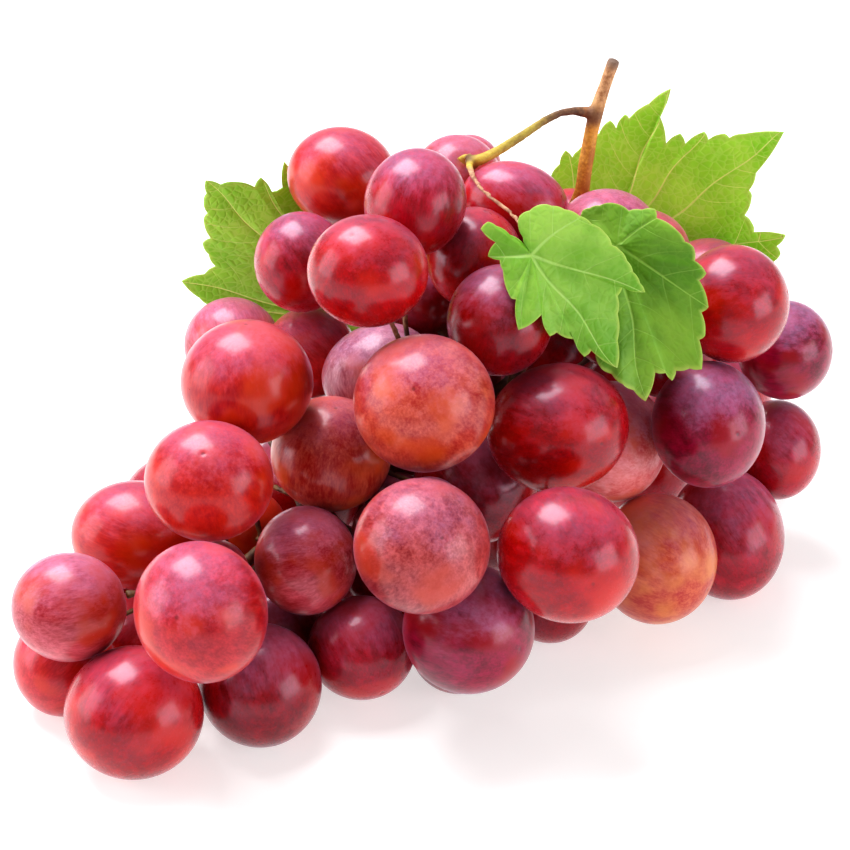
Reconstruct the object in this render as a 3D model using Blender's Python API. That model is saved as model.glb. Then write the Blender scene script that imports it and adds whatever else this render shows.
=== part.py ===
"""A bunch of large red table grapes lying on its side, with four vine leaves.

Metres, +Z up. The bunch's long axis is X, with the tip towards -X and the cut
stem towards +X. The surface that it lies on is z = 0. The grapes that show are
placed by where their middles stand in one picture of the bunch and by their
height above the surface, and are then pushed apart until none overlap. The
grapes at the back, the stalks and the leaves follow from those.
"""
import heapq
import math
from collections import namedtuple

import bmesh
import bpy
import numpy as np
from mathutils import Vector
from mathutils.bvhtree import BVHTree
from mathutils.kdtree import KDTree

MM = 0.001
CLEARANCE = 0.35 * MM            # gap between pieces that touch
REST_CUT = 0.45 * MM             # how far a resting grape is flattened underneath

# The picture that places are measured in: pixels across and down
PICTURE_MIDDLE = 425.0
PICTURE_FOCAL = 3000.0
VIEW_DISTANCE = 600.0 * MM
AIM = np.array((0.0, 0.0, 40.0)) * MM
LOOK_DOWN = math.radians(30.0)
LOOK_TURN = math.radians(30.0)

# Grapes
GRAPE_SIDES = 12
GRAPE_RINGS = 6
PUSH_ROUNDS = 500
PULL_ROUNDS = 400                # rounds after which nothing draws a grape back
SIDEWAYS_SHARE = 0.25            # how readily a seen grape leaves its sight line
RETURN_SHARE = 0.10              # how strongly it is drawn back to it
HEIGHT_SHARE = 0.01              # how strongly it is drawn to its own height

# Grapes at the back
BACK_SIDES = 10
BACK_RINGS = 5
BACK_NODES = 10
BACK_NODE_GRAPES = 4
BACK_WIDTHS = (20.5 * MM, 24.5 * MM)
INNER_WIDTHS = (13.5 * MM, 22.0 * MM)    # grapes that stand in a gap of the picture
BACK_PRESS = 2.0 * MM            # how deep grapes of one back node press together
BACK_LOW = np.array((-78.0, -30.0, 8.0)) * MM
BACK_HIGH = np.array((76.0, 48.0, 74.0)) * MM
REST_SPOTS = ((52.0, 30.0), (18.0, 36.0), (-20.0, 33.0))    # mm, where the back rests
REST_SPREAD = 7.0 * MM
BACK_TRIES = 9000
BACK_SEED = 7
BACK_DIRECTIONS = 160
BLADE_ROOM = 0.4 * MM            # more clearance than to a grape
TOUCH_GAP = 1.6 * MM             # grapes nearer than this count as touching
FLOOR_SNAP = 3.0 * MM            # a back grape this near the surface rests on it
RIM_POINTS = 16                  # where a back grape's outline is tested
RIM_TOLERANCE = 5.0              # pixels
GAP_SQUARE = 4.0                 # pixels, the side of the squares that gaps are read in
GAP_WIDTH = 4                    # squares, half the width of the widest gap
GAP_BONUS = 4.0 * MM             # how much nearer a try counts for each square it fills
GAP_SPREAD = 10.0                # pixels, how far from a gap's square tries are drawn
GAP_DEPTH = 65.0 * MM            # how far before and behind the aim tries are drawn

# Stem and stalks
STEM_SIDES = 8
ARM_SIDES = 6
STALK_SIDES = 3
STEM_STEP = 5.0 * MM
ARM_STEP = 3.5 * MM
TWIG_STEP = 4.0 * MM
POST_STEP = 2.0 * MM             # how finely other pieces keep clear of the stem
STALKS_BELOW = 70.0 * MM         # the stem carries no stalks above this height
STALK_RADIUS = 0.75 * MM
STALK_LEAST = 0.55 * MM
STALK_GROWTH = 0.3               # power of the grapes it carries that a stalk swells by
STALK_STEP = 11.0 * MM
CUSHION_RADIUS = 1.5 * MM        # the swollen end of a stalk under its grape
CUSHION_LENGTH = 2.2 * MM
STALK_START = 3.4 * MM           # where the stalk proper begins, from the grape
STALK_DIRECTIONS = 220
LEAF_FOOT_GAP = 0.5 * MM         # between a stalk's end and the blade over it
LEAF_STALK_DROPS = (3.0, 4.5, 6.0, 8.0)    # mm under the blade, the first that is free
EASE_ROUNDS = 30

# Room for the stalks, as a grid
STALK_CELL = 1.3 * MM
GRID_MARGIN = 6.0 * MM
GRID_BATCH = 60000
FLOOR_ROOM = 1.0 * MM
HULL_REACH = 12.0 * MM           # how far outside the bunch's body a stalk may run
TIGHT_PRICE = 1.5 * MM           # a way is dearer where the room is small
LEAST_ROOM = 0.5 * MM
SHALLOW_PRICE = 4.0              # and near the outside of the bunch
SHALLOW_DEPTH = 9.0 * MM
OUTSIDE_PRICE = 4.0
SEEN_PRICE = 3.0                 # and where it shows in the picture

# Leaves
BLADE_THICKNESS = 0.7 * MM
BLADE_RINGS = (0.34, 0.68, 1.0)
BLADE_LIFT = 1.3 * MM            # from the blade's middle surface to what it lies on
FOLD_WIDTH = 0.3                 # radians
DRAPE_RINGS = (1.3 * MM, 2.6 * MM)
DRAPE_RAYS = 8
DRAPE_REACH = 45.0 * MM
DRAPE_ROUNDS = 60

Grape = namedtuple("Grape", "name across down long wide lean height")
Leaf = namedtuple("Leaf", "name base base_height tip tip_height side side_height "
                          "facing arch waves wave_depth folds edge")

# A height of 0 rests the grape on the surface. Sizes and heights are in mm, and
# the lean of the long axis is in degrees from the picture's level.
SEEN_GRAPES = (
    Grape("grape_tip_upper", across=72, down=612, long=21.4, wide=20.3, lean=0, height=28),
    Grape("grape_tip_lower", across=64, down=663, long=20.5, wide=19.4, lean=90, height=0),
    Grape("grape_tip_front", across=131, down=710, long=26.0, wide=24.9, lean=0, height=0),
    Grape("grape_front_left", across=201, down=612, long=25.8, wide=24.0, lean=110, height=38),
    Grape("grape_floor_left", across=261, down=684, long=23.5, wide=23.2, lean=90, height=0),
    Grape("grape_left_edge", across=135, down=535, long=24.7, wide=21.2, lean=0, height=27),
    Grape("grape_left_upper", across=209, down=481, long=23.8, wide=22.3, lean=0, height=52),
    Grape("grape_front_dark", across=308, down=563, long=20.8, wide=19.6, lean=90, height=28),
    Grape("grape_floor_middle", across=362, down=645, long=20.6, wide=20.0, lean=0, height=13),
    Grape("grape_front_middle", across=422, down=546, long=24.8, wide=24.8, lean=0, height=46),
    Grape("grape_centre_left", across=330, down=455, long=23.2, wide=22.2, lean=0, height=43),
    Grape("grape_orange_inner", across=243, down=532, long=18.0, wide=17.6, lean=0, height=22),
    Grape("grape_top_left", across=342, down=177, long=22.0, wide=20.0, lean=-10, height=80),
    Grape("grape_top_middle", across=418, down=205, long=20.6, wide=19.2, lean=70, height=88),
    Grape("grape_top_back", across=457, down=178, long=17.8, wide=17.6, lean=0, height=77),
    Grape("grape_top_dark", across=515, down=203, long=21.4, wide=16.2, lean=-15, height=79),
    Grape("grape_upper_left", across=301, down=262, long=19.8, wide=18.4, lean=90, height=70),
    Grape("grape_upper_front", across=368, down=271, long=22.4, wide=20.9, lean=0, height=85),
    Grape("grape_upper_middle", across=476, down=256, long=19.6, wide=18.6, lean=90, height=77),
    Grape("grape_under_leaf", across=500, down=320, long=21.0, wide=20.0, lean=80, height=72),
    Grape("grape_behind_leaf", across=556, down=338, long=18.6, wide=18.4, lean=0, height=52),
    Grape("grape_far_left", across=233, down=345, long=19.6, wide=19.4, lean=0, height=46),
    Grape("grape_left_inner", across=310, down=353, long=18.6, wide=18.4, lean=0, height=49),
    Grape("grape_left_middle", across=248, down=383, long=25.0, wide=23.6, lean=0, height=61),
    Grape("grape_mottled", across=378, down=371, long=22.6, wide=18.4, lean=20, height=52),
    Grape("grape_centre", across=424, down=403, long=26.2, wide=25.6, lean=0, height=64),
    Grape("grape_glossy", across=558, down=428, long=27.2, wide=24.6, lean=12, height=52),
    Grape("grape_right_pink", across=613, down=442, long=24.0, wide=21.8, lean=90, height=38),
    Grape("grape_front_right", across=567, down=556, long=26.4, wide=24.9, lean=-20, height=40),
    Grape("grape_floor_tan", across=656, down=557, long=26.0, wide=23.8, lean=90, height=18),
    Grape("grape_floor_dark", across=550, down=600, long=17.4, wide=17.2, lean=0, height=0),
    Grape("grape_front_purple", across=470, down=628, long=24.8, wide=24.4, lean=0, height=24),
    Grape("grape_floor_purple", across=456, down=651, long=18.8, wide=18.4, lean=0, height=0),
    Grape("grape_right_purple", across=708, down=424, long=24.6, wide=22.0, lean=90, height=47),
    Grape("grape_floor_right", across=727, down=533, long=27.0, wide=23.2, lean=100, height=0),
    Grape("grape_right_upper", across=733, down=304, long=22.8, wide=21.6, lean=90, height=68),
    Grape("grape_right_behind", across=708, down=280, long=18.8, wide=17.6, lean=0, height=48),
    Grape("grape_far_right", across=785, down=350, long=20.2, wide=19.2, lean=90, height=46),
    Grape("grape_low_right", across=777, down=450, long=20.6, wide=18.0, lean=90, height=23),
    Grape("grape_right_top", across=606, down=243, long=22.2, wide=22.0, lean=0, height=68),
    Grape("grape_right_back", across=645, down=255, long=19.0, wide=18.8, lean=0, height=58),
    Grape("grape_stem_back", across=570, down=227, long=16.0, wide=15.8, lean=0, height=62),
    Grape("grape_leaf_rest_upper", across=562, down=278, long=18.4, wide=18.0, lean=0, height=69),
    Grape("grape_leaf_rest_middle", across=618, down=318, long=19.6, wide=19.0, lean=0, height=66),
    Grape("grape_leaf_rest_lower", across=668, down=352, long=19.4, wide=19.0, lean=0, height=53),
)

# Points of the stem in the picture, with heights in mm: from the cut end down
# into the bunch, and from the swollen joint along the side arm to its fork
StemPoint = namedtuple("StemPoint", "across down height radius")
STEM_TOP = (
    StemPoint(across=614, down=60, height=102, radius=1.25),
    StemPoint(across=604, down=88, height=96, radius=1.2),
    StemPoint(across=596, down=112, height=91, radius=1.5),
    StemPoint(across=591, down=133, height=86.5, radius=1.4),
    StemPoint(across=586, down=162, height=81, radius=1.45),
    StemPoint(across=582, down=191, height=75, radius=1.5),
)
SIDE_ARM = (
    StemPoint(across=595, down=115, height=90.5, radius=1.3),
    StemPoint(across=586, down=112, height=91.0, radius=1.15),
    StemPoint(across=574, down=111, height=91.5, radius=0.85),
    StemPoint(across=560, down=113, height=91.5, radius=0.75),
    StemPoint(across=544, down=121, height=90.5, radius=0.8),
    StemPoint(across=520, down=137, height=89, radius=0.9),
    StemPoint(across=496, down=152, height=87.5, radius=1.0),
    StemPoint(across=480, down=160, height=86.5, radius=1.15),
    StemPoint(across=469, down=161, height=86, radius=1.3),
)
LEAF_TWIG = (
    StemPoint(across=469, down=161, height=86, radius=1.1),
    StemPoint(across=472, down=174, height=86, radius=0.7),
    StemPoint(across=483, down=191, height=85.5, radius=0.55),
    StemPoint(across=502, down=206, height=85, radius=0.55),
    StemPoint(across=516, down=218, height=85, radius=0.55),
    StemPoint(across=524, down=236, height=84, radius=0.6),
)
# The rachis inside the bunch, from where the stem goes in to near the tip, in mm
RACHIS = (
    ((45, 20, 62), 1.7),
    ((37, 10, 50), 1.8),
    ((22, 3, 42), 1.8),
    ((5, 0, 38), 1.7),
    ((-14, -2, 34), 1.5),
    ((-34, -5, 29), 1.3),
    ((-52, -10, 24), 1.1),
)

# Edges run once round the blade, in picture pixels, from tooth to notch
BACK_LEFT_EDGE = (
    (285, 152), (283, 181), (277, 186), (272, 188), (261, 174), (255, 184), (235, 179),
    (221, 182), (206, 178), (207, 191), (204, 199), (208, 211), (204, 217), (211, 236),
    (203, 241), (209, 252), (216, 264), (205, 272), (182, 279), (200, 296), (209, 303),
    (228, 327), (250, 332), (262, 352), (285, 350), (305, 368), (322, 348), (340, 336),
    (352, 342), (377, 338), (372, 316), (392, 290), (374, 268), (380, 236), (358, 222),
    (352, 192), (330, 190), (318, 168), (300, 174),
)
BACK_RIGHT_EDGE = (
    (672, 87), (650, 102), (630, 117), (626, 113), (617, 127), (611, 119), (600, 132),
    (589, 142), (579, 149), (573, 156), (566, 149), (560, 163), (551, 176), (540, 167),
    (541, 186), (527, 198), (534, 219), (514, 240), (530, 258), (518, 279), (541, 293),
    (546, 316), (566, 308), (586, 290), (604, 294), (622, 318), (644, 302), (672, 316),
    (694, 296), (726, 300), (744, 278), (778, 264), (776, 256), (783, 248), (779, 240),
    (788, 229), (756, 227), (753, 218), (746, 212), (753, 193), (750, 188), (757, 171),
    (785, 130), (745, 132), (730, 136), (725, 132), (709, 138), (705, 130), (686, 142),
    (681, 132), (667, 142), (661, 115),
)
FRONT_EDGE = (
    (525, 245), (510, 235), (496, 226), (488, 222), (481, 229), (496, 242), (488, 257),
    (500, 261), (503, 272), (511, 299), (516, 300), (518, 331), (541, 315), (549, 337),
    (556, 333), (574, 340), (584, 358), (591, 352), (617, 371), (617, 345), (617, 320),
    (617, 301), (622, 291), (645, 296), (640, 286), (633, 274), (627, 262), (620, 251),
    (612, 246), (605, 233), (592, 224), (580, 216), (565, 210), (552, 207), (541, 206),
    (530, 212), (520, 217), (519, 226), (524, 238),
)
FRONT_LOWER_EDGE = (
    (582, 211), (578, 228), (563, 238), (568, 255), (553, 270), (566, 290), (557, 309),
    (571, 322), (576, 340), (591, 352), (597, 370), (608, 376), (619, 386), (630, 392),
    (642, 403), (652, 374), (662, 375), (668, 383), (672, 373), (685, 371), (697, 372),
    (695, 342), (701, 338), (698, 314), (705, 309), (696, 282), (703, 275), (692, 262),
    (692, 248), (684, 242), (678, 231), (657, 218), (655, 210), (640, 211), (627, 212),
    (613, 203), (601, 205), (590, 208),
)
LEAVES = (
    Leaf("leaf_back_left", base=(345, 322), base_height=42, tip=(206, 178), tip_height=77,
         side=(182, 279), side_height=52, facing=-1, arch=2.5, waves=5, wave_depth=0.7,
         folds=((134, 1.2),), edge=BACK_LEFT_EDGE),
    Leaf("leaf_back_right", base=(592, 278), base_height=41, tip=(672, 87), tip_height=87,
         side=(785, 130), side_height=80, facing=-1, arch=3.5, waves=5, wave_depth=0.9,
         folds=((37, 1.2), (67, 1.2)), edge=BACK_RIGHT_EDGE),
    Leaf("leaf_front_lower", base=(618, 245), base_height=80, tip=(642, 403), tip_height=50,
         side=(705, 309), side_height=72, facing=1, arch=1.5, waves=4, wave_depth=0.7,
         folds=((-60, 1.5),), edge=FRONT_LOWER_EDGE),
    Leaf("leaf_front", base=(532, 255), base_height=85, tip=(617, 371), tip_height=63,
         side=(645, 296), side_height=78, facing=1, arch=1.5, waves=3, wave_depth=0.5,
         folds=((-36, 2.6), (-54, -0.8)), edge=FRONT_EDGE),
)

MATERIALS = {
    "skin": ((0.42, 0.03, 0.05), 0.32),
    "stem": ((0.35, 0.19, 0.05), 0.6),
    "blade": ((0.16, 0.36, 0.04), 0.5),
}

# Directions of the picture in the bunch's own frame
VIEW_RIGHT = np.array((math.cos(LOOK_TURN), -math.sin(LOOK_TURN), 0.0))
VIEW_AWAY = np.array((math.sin(LOOK_TURN), math.cos(LOOK_TURN), 0.0))
VIEW_AHEAD = VIEW_AWAY * math.cos(LOOK_DOWN) - np.array((0, 0, math.sin(LOOK_DOWN)))
VIEW_UP = VIEW_AWAY * math.sin(LOOK_DOWN) + np.array((0, 0, math.cos(LOOK_DOWN)))
EYE = AIM - VIEW_AHEAD * VIEW_DISTANCE


def sight(across, down):
    """The direction from the eye through each pixel, one unit deep."""
    right = np.multiply.outer((across - PICTURE_MIDDLE) / PICTURE_FOCAL, VIEW_RIGHT)
    up = np.multiply.outer((PICTURE_MIDDLE - down) / PICTURE_FOCAL, VIEW_UP)
    return VIEW_AHEAD + right + up


def seen_at(across, down, height):
    """The point at a height above the surface that stands at a pixel."""
    ray = sight(across, down)
    return EYE + ray * (height - EYE[2]) / ray[2]


def to_picture(points):
    """Pixels across and down of points, and their depth."""
    away = points - EYE
    depth = away @ VIEW_AHEAD
    across = PICTURE_MIDDLE + PICTURE_FOCAL * (away @ VIEW_RIGHT) / depth
    down = PICTURE_MIDDLE - PICTURE_FOCAL * (away @ VIEW_UP) / depth
    return across, down, depth


def clear_scene():
    for item in list(bpy.data.objects):
        bpy.data.objects.remove(item, do_unlink=True)


def make_material(name):
    colour, roughness = MATERIALS[name]
    material = bpy.data.materials.new(name)
    material.use_nodes = True
    shader = material.node_tree.nodes["Principled BSDF"]
    shader.inputs["Base Color"].default_value = (*colour, 1.0)
    shader.inputs["Roughness"].default_value = roughness
    shader.inputs["Metallic"].default_value = 0.0
    return material


def make_object(name, bm, material):
    mesh = bpy.data.meshes.new(name)
    bmesh.ops.recalc_face_normals(bm, faces=bm.faces)
    bm.to_mesh(mesh)
    bm.free()
    mesh.shade_smooth()
    mesh.materials.append(material)
    item = bpy.data.objects.new(name, mesh)
    bpy.context.scene.collection.objects.link(item)
    return item


class Berries:
    """Ellipsoids, long along one axis: places, axes and half sizes as arrays."""

    def __init__(self):
        self.place = np.zeros((0, 3))
        self.axis = np.zeros((0, 3))
        self.half_long = np.zeros(0)
        self.half_wide = np.zeros(0)

    def add(self, place, axis, long, wide):
        self.place = np.vstack((self.place, place))
        self.axis = np.vstack((self.axis, axis / np.linalg.norm(axis)))
        self.half_long = np.append(self.half_long, long / 2)
        self.half_wide = np.append(self.half_wide, wide / 2)

    def copy(self):
        other = Berries()
        other.place = self.place.copy()
        other.axis = self.axis.copy()
        other.half_long = self.half_long.copy()
        other.half_wide = self.half_wide.copy()
        return other

    def reach(self, directions):
        """How far each berry reaches from its middle along its own direction."""
        along = np.einsum("ij,ij->i", directions, self.axis)
        return np.sqrt(self.half_long ** 2 * along ** 2
                       + self.half_wide ** 2 * (1 - along ** 2))

    def gap_to(self, points, radii=0.0):
        """The gap from each point, with a radius, to each berry: points by berries."""
        apart = points[:, None, :] - self.place[None, :, :]
        distance = np.linalg.norm(apart, axis=2)
        along = np.einsum("ijk,jk->ij", apart, self.axis) / np.maximum(distance, 1e-9)
        reach = np.sqrt(self.half_long ** 2 * along ** 2
                        + self.half_wide ** 2 * (1 - along ** 2))
        return distance - reach - np.reshape(radii, (-1, 1))

    def lowest(self):
        """How far each berry reaches below its middle."""
        return self.reach(np.tile((0.0, 0.0, -1.0), (len(self.place), 1)))


def lay_seen_grapes():
    """Places the grapes that show, on their sight lines."""
    berries = Berries()
    for grape in SEEN_GRAPES:
        lean = math.radians(grape.lean)
        axis = VIEW_RIGHT * math.cos(lean) + VIEW_UP * math.sin(lean)
        height = grape.height * MM
        berries.add(seen_at(grape.across, grape.down, height), axis,
                    grape.long * MM, grape.wide * MM)
    resting = np.array([grape.height == 0 for grape in SEEN_GRAPES])
    rest_height = berries.lowest() - REST_CUT
    for index in np.flatnonzero(resting):
        grape = SEEN_GRAPES[index]
        berries.place[index] = seen_at(grape.across, grape.down, rest_height[index])
    return berries, resting


def push_apart(berries, resting, posts, post_radii):
    """Moves overlapping grapes apart, mostly along their sight lines.

    Each round moves every pair that is closer than the clearance apart along the
    line between the middles, by half the lack each. A grape's share across its
    sight line is small, and it is drawn back to that line and to its own height,
    less and less as the rounds go by.
    """
    home = berries.place.copy()
    rays = home - EYE
    rays /= np.linalg.norm(rays, axis=1)[:, None]
    count = len(home)
    rest_height = berries.lowest() - REST_CUT
    for turn in range(PUSH_ROUNDS):
        pull = max(0.0, 1 - turn / PULL_ROUNDS)
        apart = berries.place[:, None, :] - berries.place[None, :, :]
        distance = np.linalg.norm(apart, axis=2) + np.eye(count)
        line = apart / distance[:, :, None]
        along = np.einsum("ijk,ik->ij", line, berries.axis)
        reach = np.sqrt(berries.half_long[:, None] ** 2 * along ** 2
                        + berries.half_wide[:, None] ** 2 * (1 - along ** 2))
        lack = np.maximum(reach + reach.T + CLEARANCE - distance, 0)
        np.fill_diagonal(lack, 0)
        move = np.einsum("ij,ijk->ik", lack, line) * 0.5
        post_apart = berries.place[:, None, :] - posts[None, :, :]
        post_distance = np.linalg.norm(post_apart, axis=2)
        post_lack = np.maximum(berries.half_wide[:, None] + post_radii[None, :]
                               + CLEARANCE - post_distance, 0)
        nearest = post_lack.argmax(axis=1)
        rows = np.arange(count)
        move += (post_apart[rows, nearest] / post_distance[rows, nearest][:, None]
                 * post_lack[rows, nearest][:, None])
        slide = np.einsum("ij,ij->i", move, rays)[:, None] * rays
        step = slide + (move - slide) * SIDEWAYS_SHARE
        offset = berries.place - home
        offset_slide = np.einsum("ij,ij->i", offset, rays)[:, None] * rays
        step -= (offset - offset_slide) * RETURN_SHARE * SIDEWAYS_SHARE * pull
        step -= offset_slide * HEIGHT_SHARE * pull
        berries.place += step
        berries.place[:, 2] = np.maximum(berries.place[:, 2], rest_height)
        berries.place[resting, 2] = rest_height[resting]


def stem_route(points):
    places = [seen_at(p.across, p.down, p.height * MM) for p in points]
    return np.array(places), np.array([p.radius * MM for p in points])


def rachis_route():
    """The stem from its cut end into the bunch, and on along the bunch."""
    top, top_radii = stem_route(STEM_TOP)
    inner = np.array([place for place, _ in RACHIS]) * MM
    inner_radii = np.array([radius for _, radius in RACHIS]) * MM
    return np.vstack((top, inner)), np.append(top_radii, inner_radii)


def smooth_route(places, radii, step):
    """A curve through a route's own points, read at even steps.

    Between two points it is the cubic whose slope at each is half the way between
    the points on either side.
    """
    padded = np.vstack((2 * places[0] - places[1], places, 2 * places[-1] - places[-2]))
    out = [places[0]]
    out_radii = [radii[0]]
    for index in range(len(places) - 1):
        a, b, c, d = padded[index:index + 4]
        count = max(1, round(float(np.linalg.norm(c - b)) / step))
        for part in range(1, count + 1):
            t = part / count
            out.append(0.5 * (2 * b + (c - a) * t + (2 * a - 5 * b + 4 * c - d) * t ** 2
                              + (3 * b - a - 3 * c + d) * t ** 3))
            out_radii.append(radii[index] * (1 - t) + radii[index + 1] * t)
    return np.array(out), np.array(out_radii)


def even_directions(count):
    """Directions spread evenly over a sphere, along a spiral."""
    turn = np.arange(count) * math.pi * (3 - math.sqrt(5))
    level = 1 - 2 * (np.arange(count) + 0.5) / count
    ring = np.sqrt(1 - level ** 2)
    return np.column_stack((ring * np.cos(turn), ring * np.sin(turn), level))


def widened(squares, width):
    """Marked squares, and all within a distance of them."""
    out = squares.copy()
    for down in range(-width, width + 1):
        for across in range(-width, width + 1):
            if math.hypot(down, across) <= width:
                out |= np.roll(squares, (down, across), axis=(0, 1))
    return out


def picture_discs(places, radii):
    """Round grapes as discs in the picture: pixels across and down, and radius."""
    across, down, depth = to_picture(places)
    return across, down, PICTURE_FOCAL * radii / depth


def picture_gaps(berries, blade_points):
    """The squares of the picture where light shows through the bunch.

    The covered squares are widened and then narrowed again by the same distance,
    which closes gaps and keeps the outline. What that adds are the gaps.
    """
    marks = np.arange(GAP_SQUARE / 2, 2 * PICTURE_MIDDLE, GAP_SQUARE)
    across, down = np.meshgrid(marks, marks)
    disc_across, disc_down, radius = picture_discs(
        berries.place, (berries.half_long + berries.half_wide) / 2)
    apart = np.hypot(across[..., None] - disc_across, down[..., None] - disc_down)
    covered = (apart < radius).any(axis=2)
    blade_across, blade_down, _ = to_picture(blade_points)
    covered[(blade_down // GAP_SQUARE).astype(int), (blade_across // GAP_SQUARE).astype(int)] = True
    closed = ~widened(~widened(covered, GAP_WIDTH), GAP_WIDTH)
    gap = closed & ~covered
    return np.column_stack((across[gap], down[gap]))


def gap_distances(across, down, gaps):
    """Pixels from each place in the picture to each gap square."""
    return np.hypot(across[..., None] - gaps[:, 0], down[..., None] - gaps[:, 1])


def all_hidden(places, radii, berries, gaps):
    """Whether each round grape's outline is all behind other grapes or in a gap."""
    across, down, depth = to_picture(berries.place)
    scale = PICTURE_FOCAL / depth
    seen_radius = scale * (berries.half_long + berries.half_wide) / 2 + RIM_TOLERANCE
    own_depth = to_picture(places)[2]
    own_across, own_down, own_radius = picture_discs(places, radii)
    turns = np.linspace(0, 2 * math.pi, RIM_POINTS, endpoint=False)
    rim_across = own_across[:, None] + own_radius[:, None] * np.cos(turns)
    rim_down = own_down[:, None] + own_radius[:, None] * np.sin(turns)
    apart = np.hypot(rim_across[:, :, None] - across, rim_down[:, :, None] - down)
    behind = own_depth[:, None, None] > depth + berries.half_wide / 2
    hidden = ((apart < seen_radius) & behind).any(axis=2)
    hidden |= (gap_distances(rim_across, rim_down, gaps) < GAP_SQUARE).any(axis=2)
    return hidden.all(axis=1)


class BackGrapes:
    """Fills the bunch's back, underside and gaps with small groups of pressed grapes.

    Tries are drawn evenly with a seed. One is good if it is clear of everything,
    hidden behind the seen grapes or in a gap between them, and touches others. Each
    group starts from the good try that lies nearest the rachis, and grows by grapes
    that press into one of its own, so the bunch fills from the inside out. A try
    that fills a gap of the picture counts as nearer.
    """

    def __init__(self, berries, posts, post_radii, blade_points):
        self.berries = berries
        self.seen = berries.copy()
        self.posts = posts
        self.post_radii = post_radii
        self.blade_tree = KDTree(len(blade_points))
        for number, point in enumerate(blade_points):
            self.blade_tree.insert(point, number)
        self.blade_tree.balance()
        self.gaps = picture_gaps(berries, blade_points)
        self.open_gaps = self.gaps
        self.rng = np.random.default_rng(BACK_SEED)
        self.directions = even_directions(BACK_DIRECTIONS)

    def drawn_tries(self):
        """Places all over the back, and places behind the gaps that are still open."""
        places = self.rng.uniform(BACK_LOW, BACK_HIGH, (BACK_TRIES, 3))
        radii = self.rng.uniform(*BACK_WIDTHS, BACK_TRIES) / 2
        if len(self.open_gaps):
            half = BACK_TRIES // 2
            spots = self.open_gaps[self.rng.integers(len(self.open_gaps), size=half)]
            spots = spots + self.rng.normal(0, GAP_SPREAD, (half, 2))
            depths = VIEW_DISTANCE + self.rng.uniform(-GAP_DEPTH, GAP_DEPTH, half)
            places[:half] = EYE + sight(spots[:, 0], spots[:, 1]) * depths[:, None]
            radii[:half] = self.rng.uniform(*INNER_WIDTHS, half) / 2
        return places, radii

    def tries_at_rest(self, spot):
        """Places on the surface near a spot."""
        places = np.zeros((BACK_TRIES, 3))
        places[:, :2] = np.array(spot) * MM + self.rng.normal(0, REST_SPREAD, (BACK_TRIES, 2))
        return places, self.rng.uniform(*BACK_WIDTHS, BACK_TRIES) / 2

    def tries_round(self, group):
        """Places that press into a grape of the group, in grapes of several widths."""
        places = []
        radii = []
        widths = np.linspace(INNER_WIDTHS[0], BACK_WIDTHS[1], 4)
        for radius in self.rng.permutation(widths) / 2:
            for member in group:
                reach = self.berries.half_wide[member] + radius - BACK_PRESS
                places.append(self.berries.place[member] + self.directions * reach)
                radii.append(np.full(len(self.directions), radius))
        return np.vstack(places), np.concatenate(radii)

    def clear_ones(self, places, radii, group):
        """Which tries are clear of everything, and how many grapes each touches."""
        gaps = self.berries.gap_to(places, radii)
        own = np.zeros(len(self.berries.place), dtype=bool)
        own[group] = True
        good = gaps[:, ~own].min(axis=1) > CLEARANCE
        if group:
            own_gap = gaps[:, own].min(axis=1)
            good &= own_gap > -BACK_PRESS * 1.05
        post_gap = (np.linalg.norm(places[:, None] - self.posts[None], axis=2)
                    - self.post_radii - radii[:, None]).min(axis=1)
        good &= post_gap > CLEARANCE
        good &= places[:, 2] >= radii - REST_CUT - 1e-9
        good &= ((places > BACK_LOW) & (places < BACK_HIGH)).all(axis=1)
        blade_gap = np.array([self.blade_tree.find(place)[2] for place in places]) - radii
        good &= blade_gap > BLADE_THICKNESS / 2 + CLEARANCE + BLADE_ROOM
        return good, (gaps < TOUCH_GAP).sum(axis=1)

    def best_of(self, places, radii, group, touches_wanted=1):
        places = places.copy()
        on_floor = places[:, 2] < radii + FLOOR_SNAP
        places[on_floor, 2] = radii[on_floor] - REST_CUT
        good, touching = self.clear_ones(places, radii, group)
        chosen = np.flatnonzero(good & (touching >= touches_wanted))
        if len(chosen):
            hidden = all_hidden(places[chosen], radii[chosen], self.seen, self.gaps)
            chosen = chosen[hidden]
        if not len(chosen):
            return None
        apart = np.linalg.norm(places[chosen, None] - self.posts[None], axis=2).min(axis=1)
        across, down, own_radius = picture_discs(places[chosen], radii[chosen])
        filled = gap_distances(across, down, self.open_gaps) < own_radius[:, None]
        best = chosen[(apart - GAP_BONUS * filled.sum(axis=1)).argmin()]
        return places[best], radii[best]

    def add(self, place, radius, group):
        """Adds a grape, with its axis towards the one of its group that it presses into."""
        axis = np.array((0.0, 0.0, 1.0))
        if group:
            apart = place - self.berries.place[group]
            nearest = np.linalg.norm(apart, axis=1) - self.berries.half_wide[group]
            axis = apart[nearest.argmin()]
        self.berries.add(place, axis, 2 * radius, 2 * radius)
        across, down, own_radius = picture_discs(place[None], radius)
        filled = gap_distances(across, down, self.open_gaps)[0] < own_radius[0]
        self.open_gaps = self.open_gaps[~filled]

    def fill(self):
        """Lays all groups, and gives each as the numbers of its grapes."""
        groups = []
        for number in range(BACK_NODES):
            group = []
            if number < len(REST_SPOTS):
                tries = self.tries_at_rest(REST_SPOTS[number])
                found = self.best_of(*tries, group, touches_wanted=0)
            else:
                found = self.best_of(*self.drawn_tries(), group)
            while found is not None:
                self.add(*found, group)
                group.append(len(self.berries.place) - 1)
                if len(group) == BACK_NODE_GRAPES:
                    break
                found = self.best_of(*self.tries_round(group), group)
            if group:
                groups.append(group)
        return groups


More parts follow.
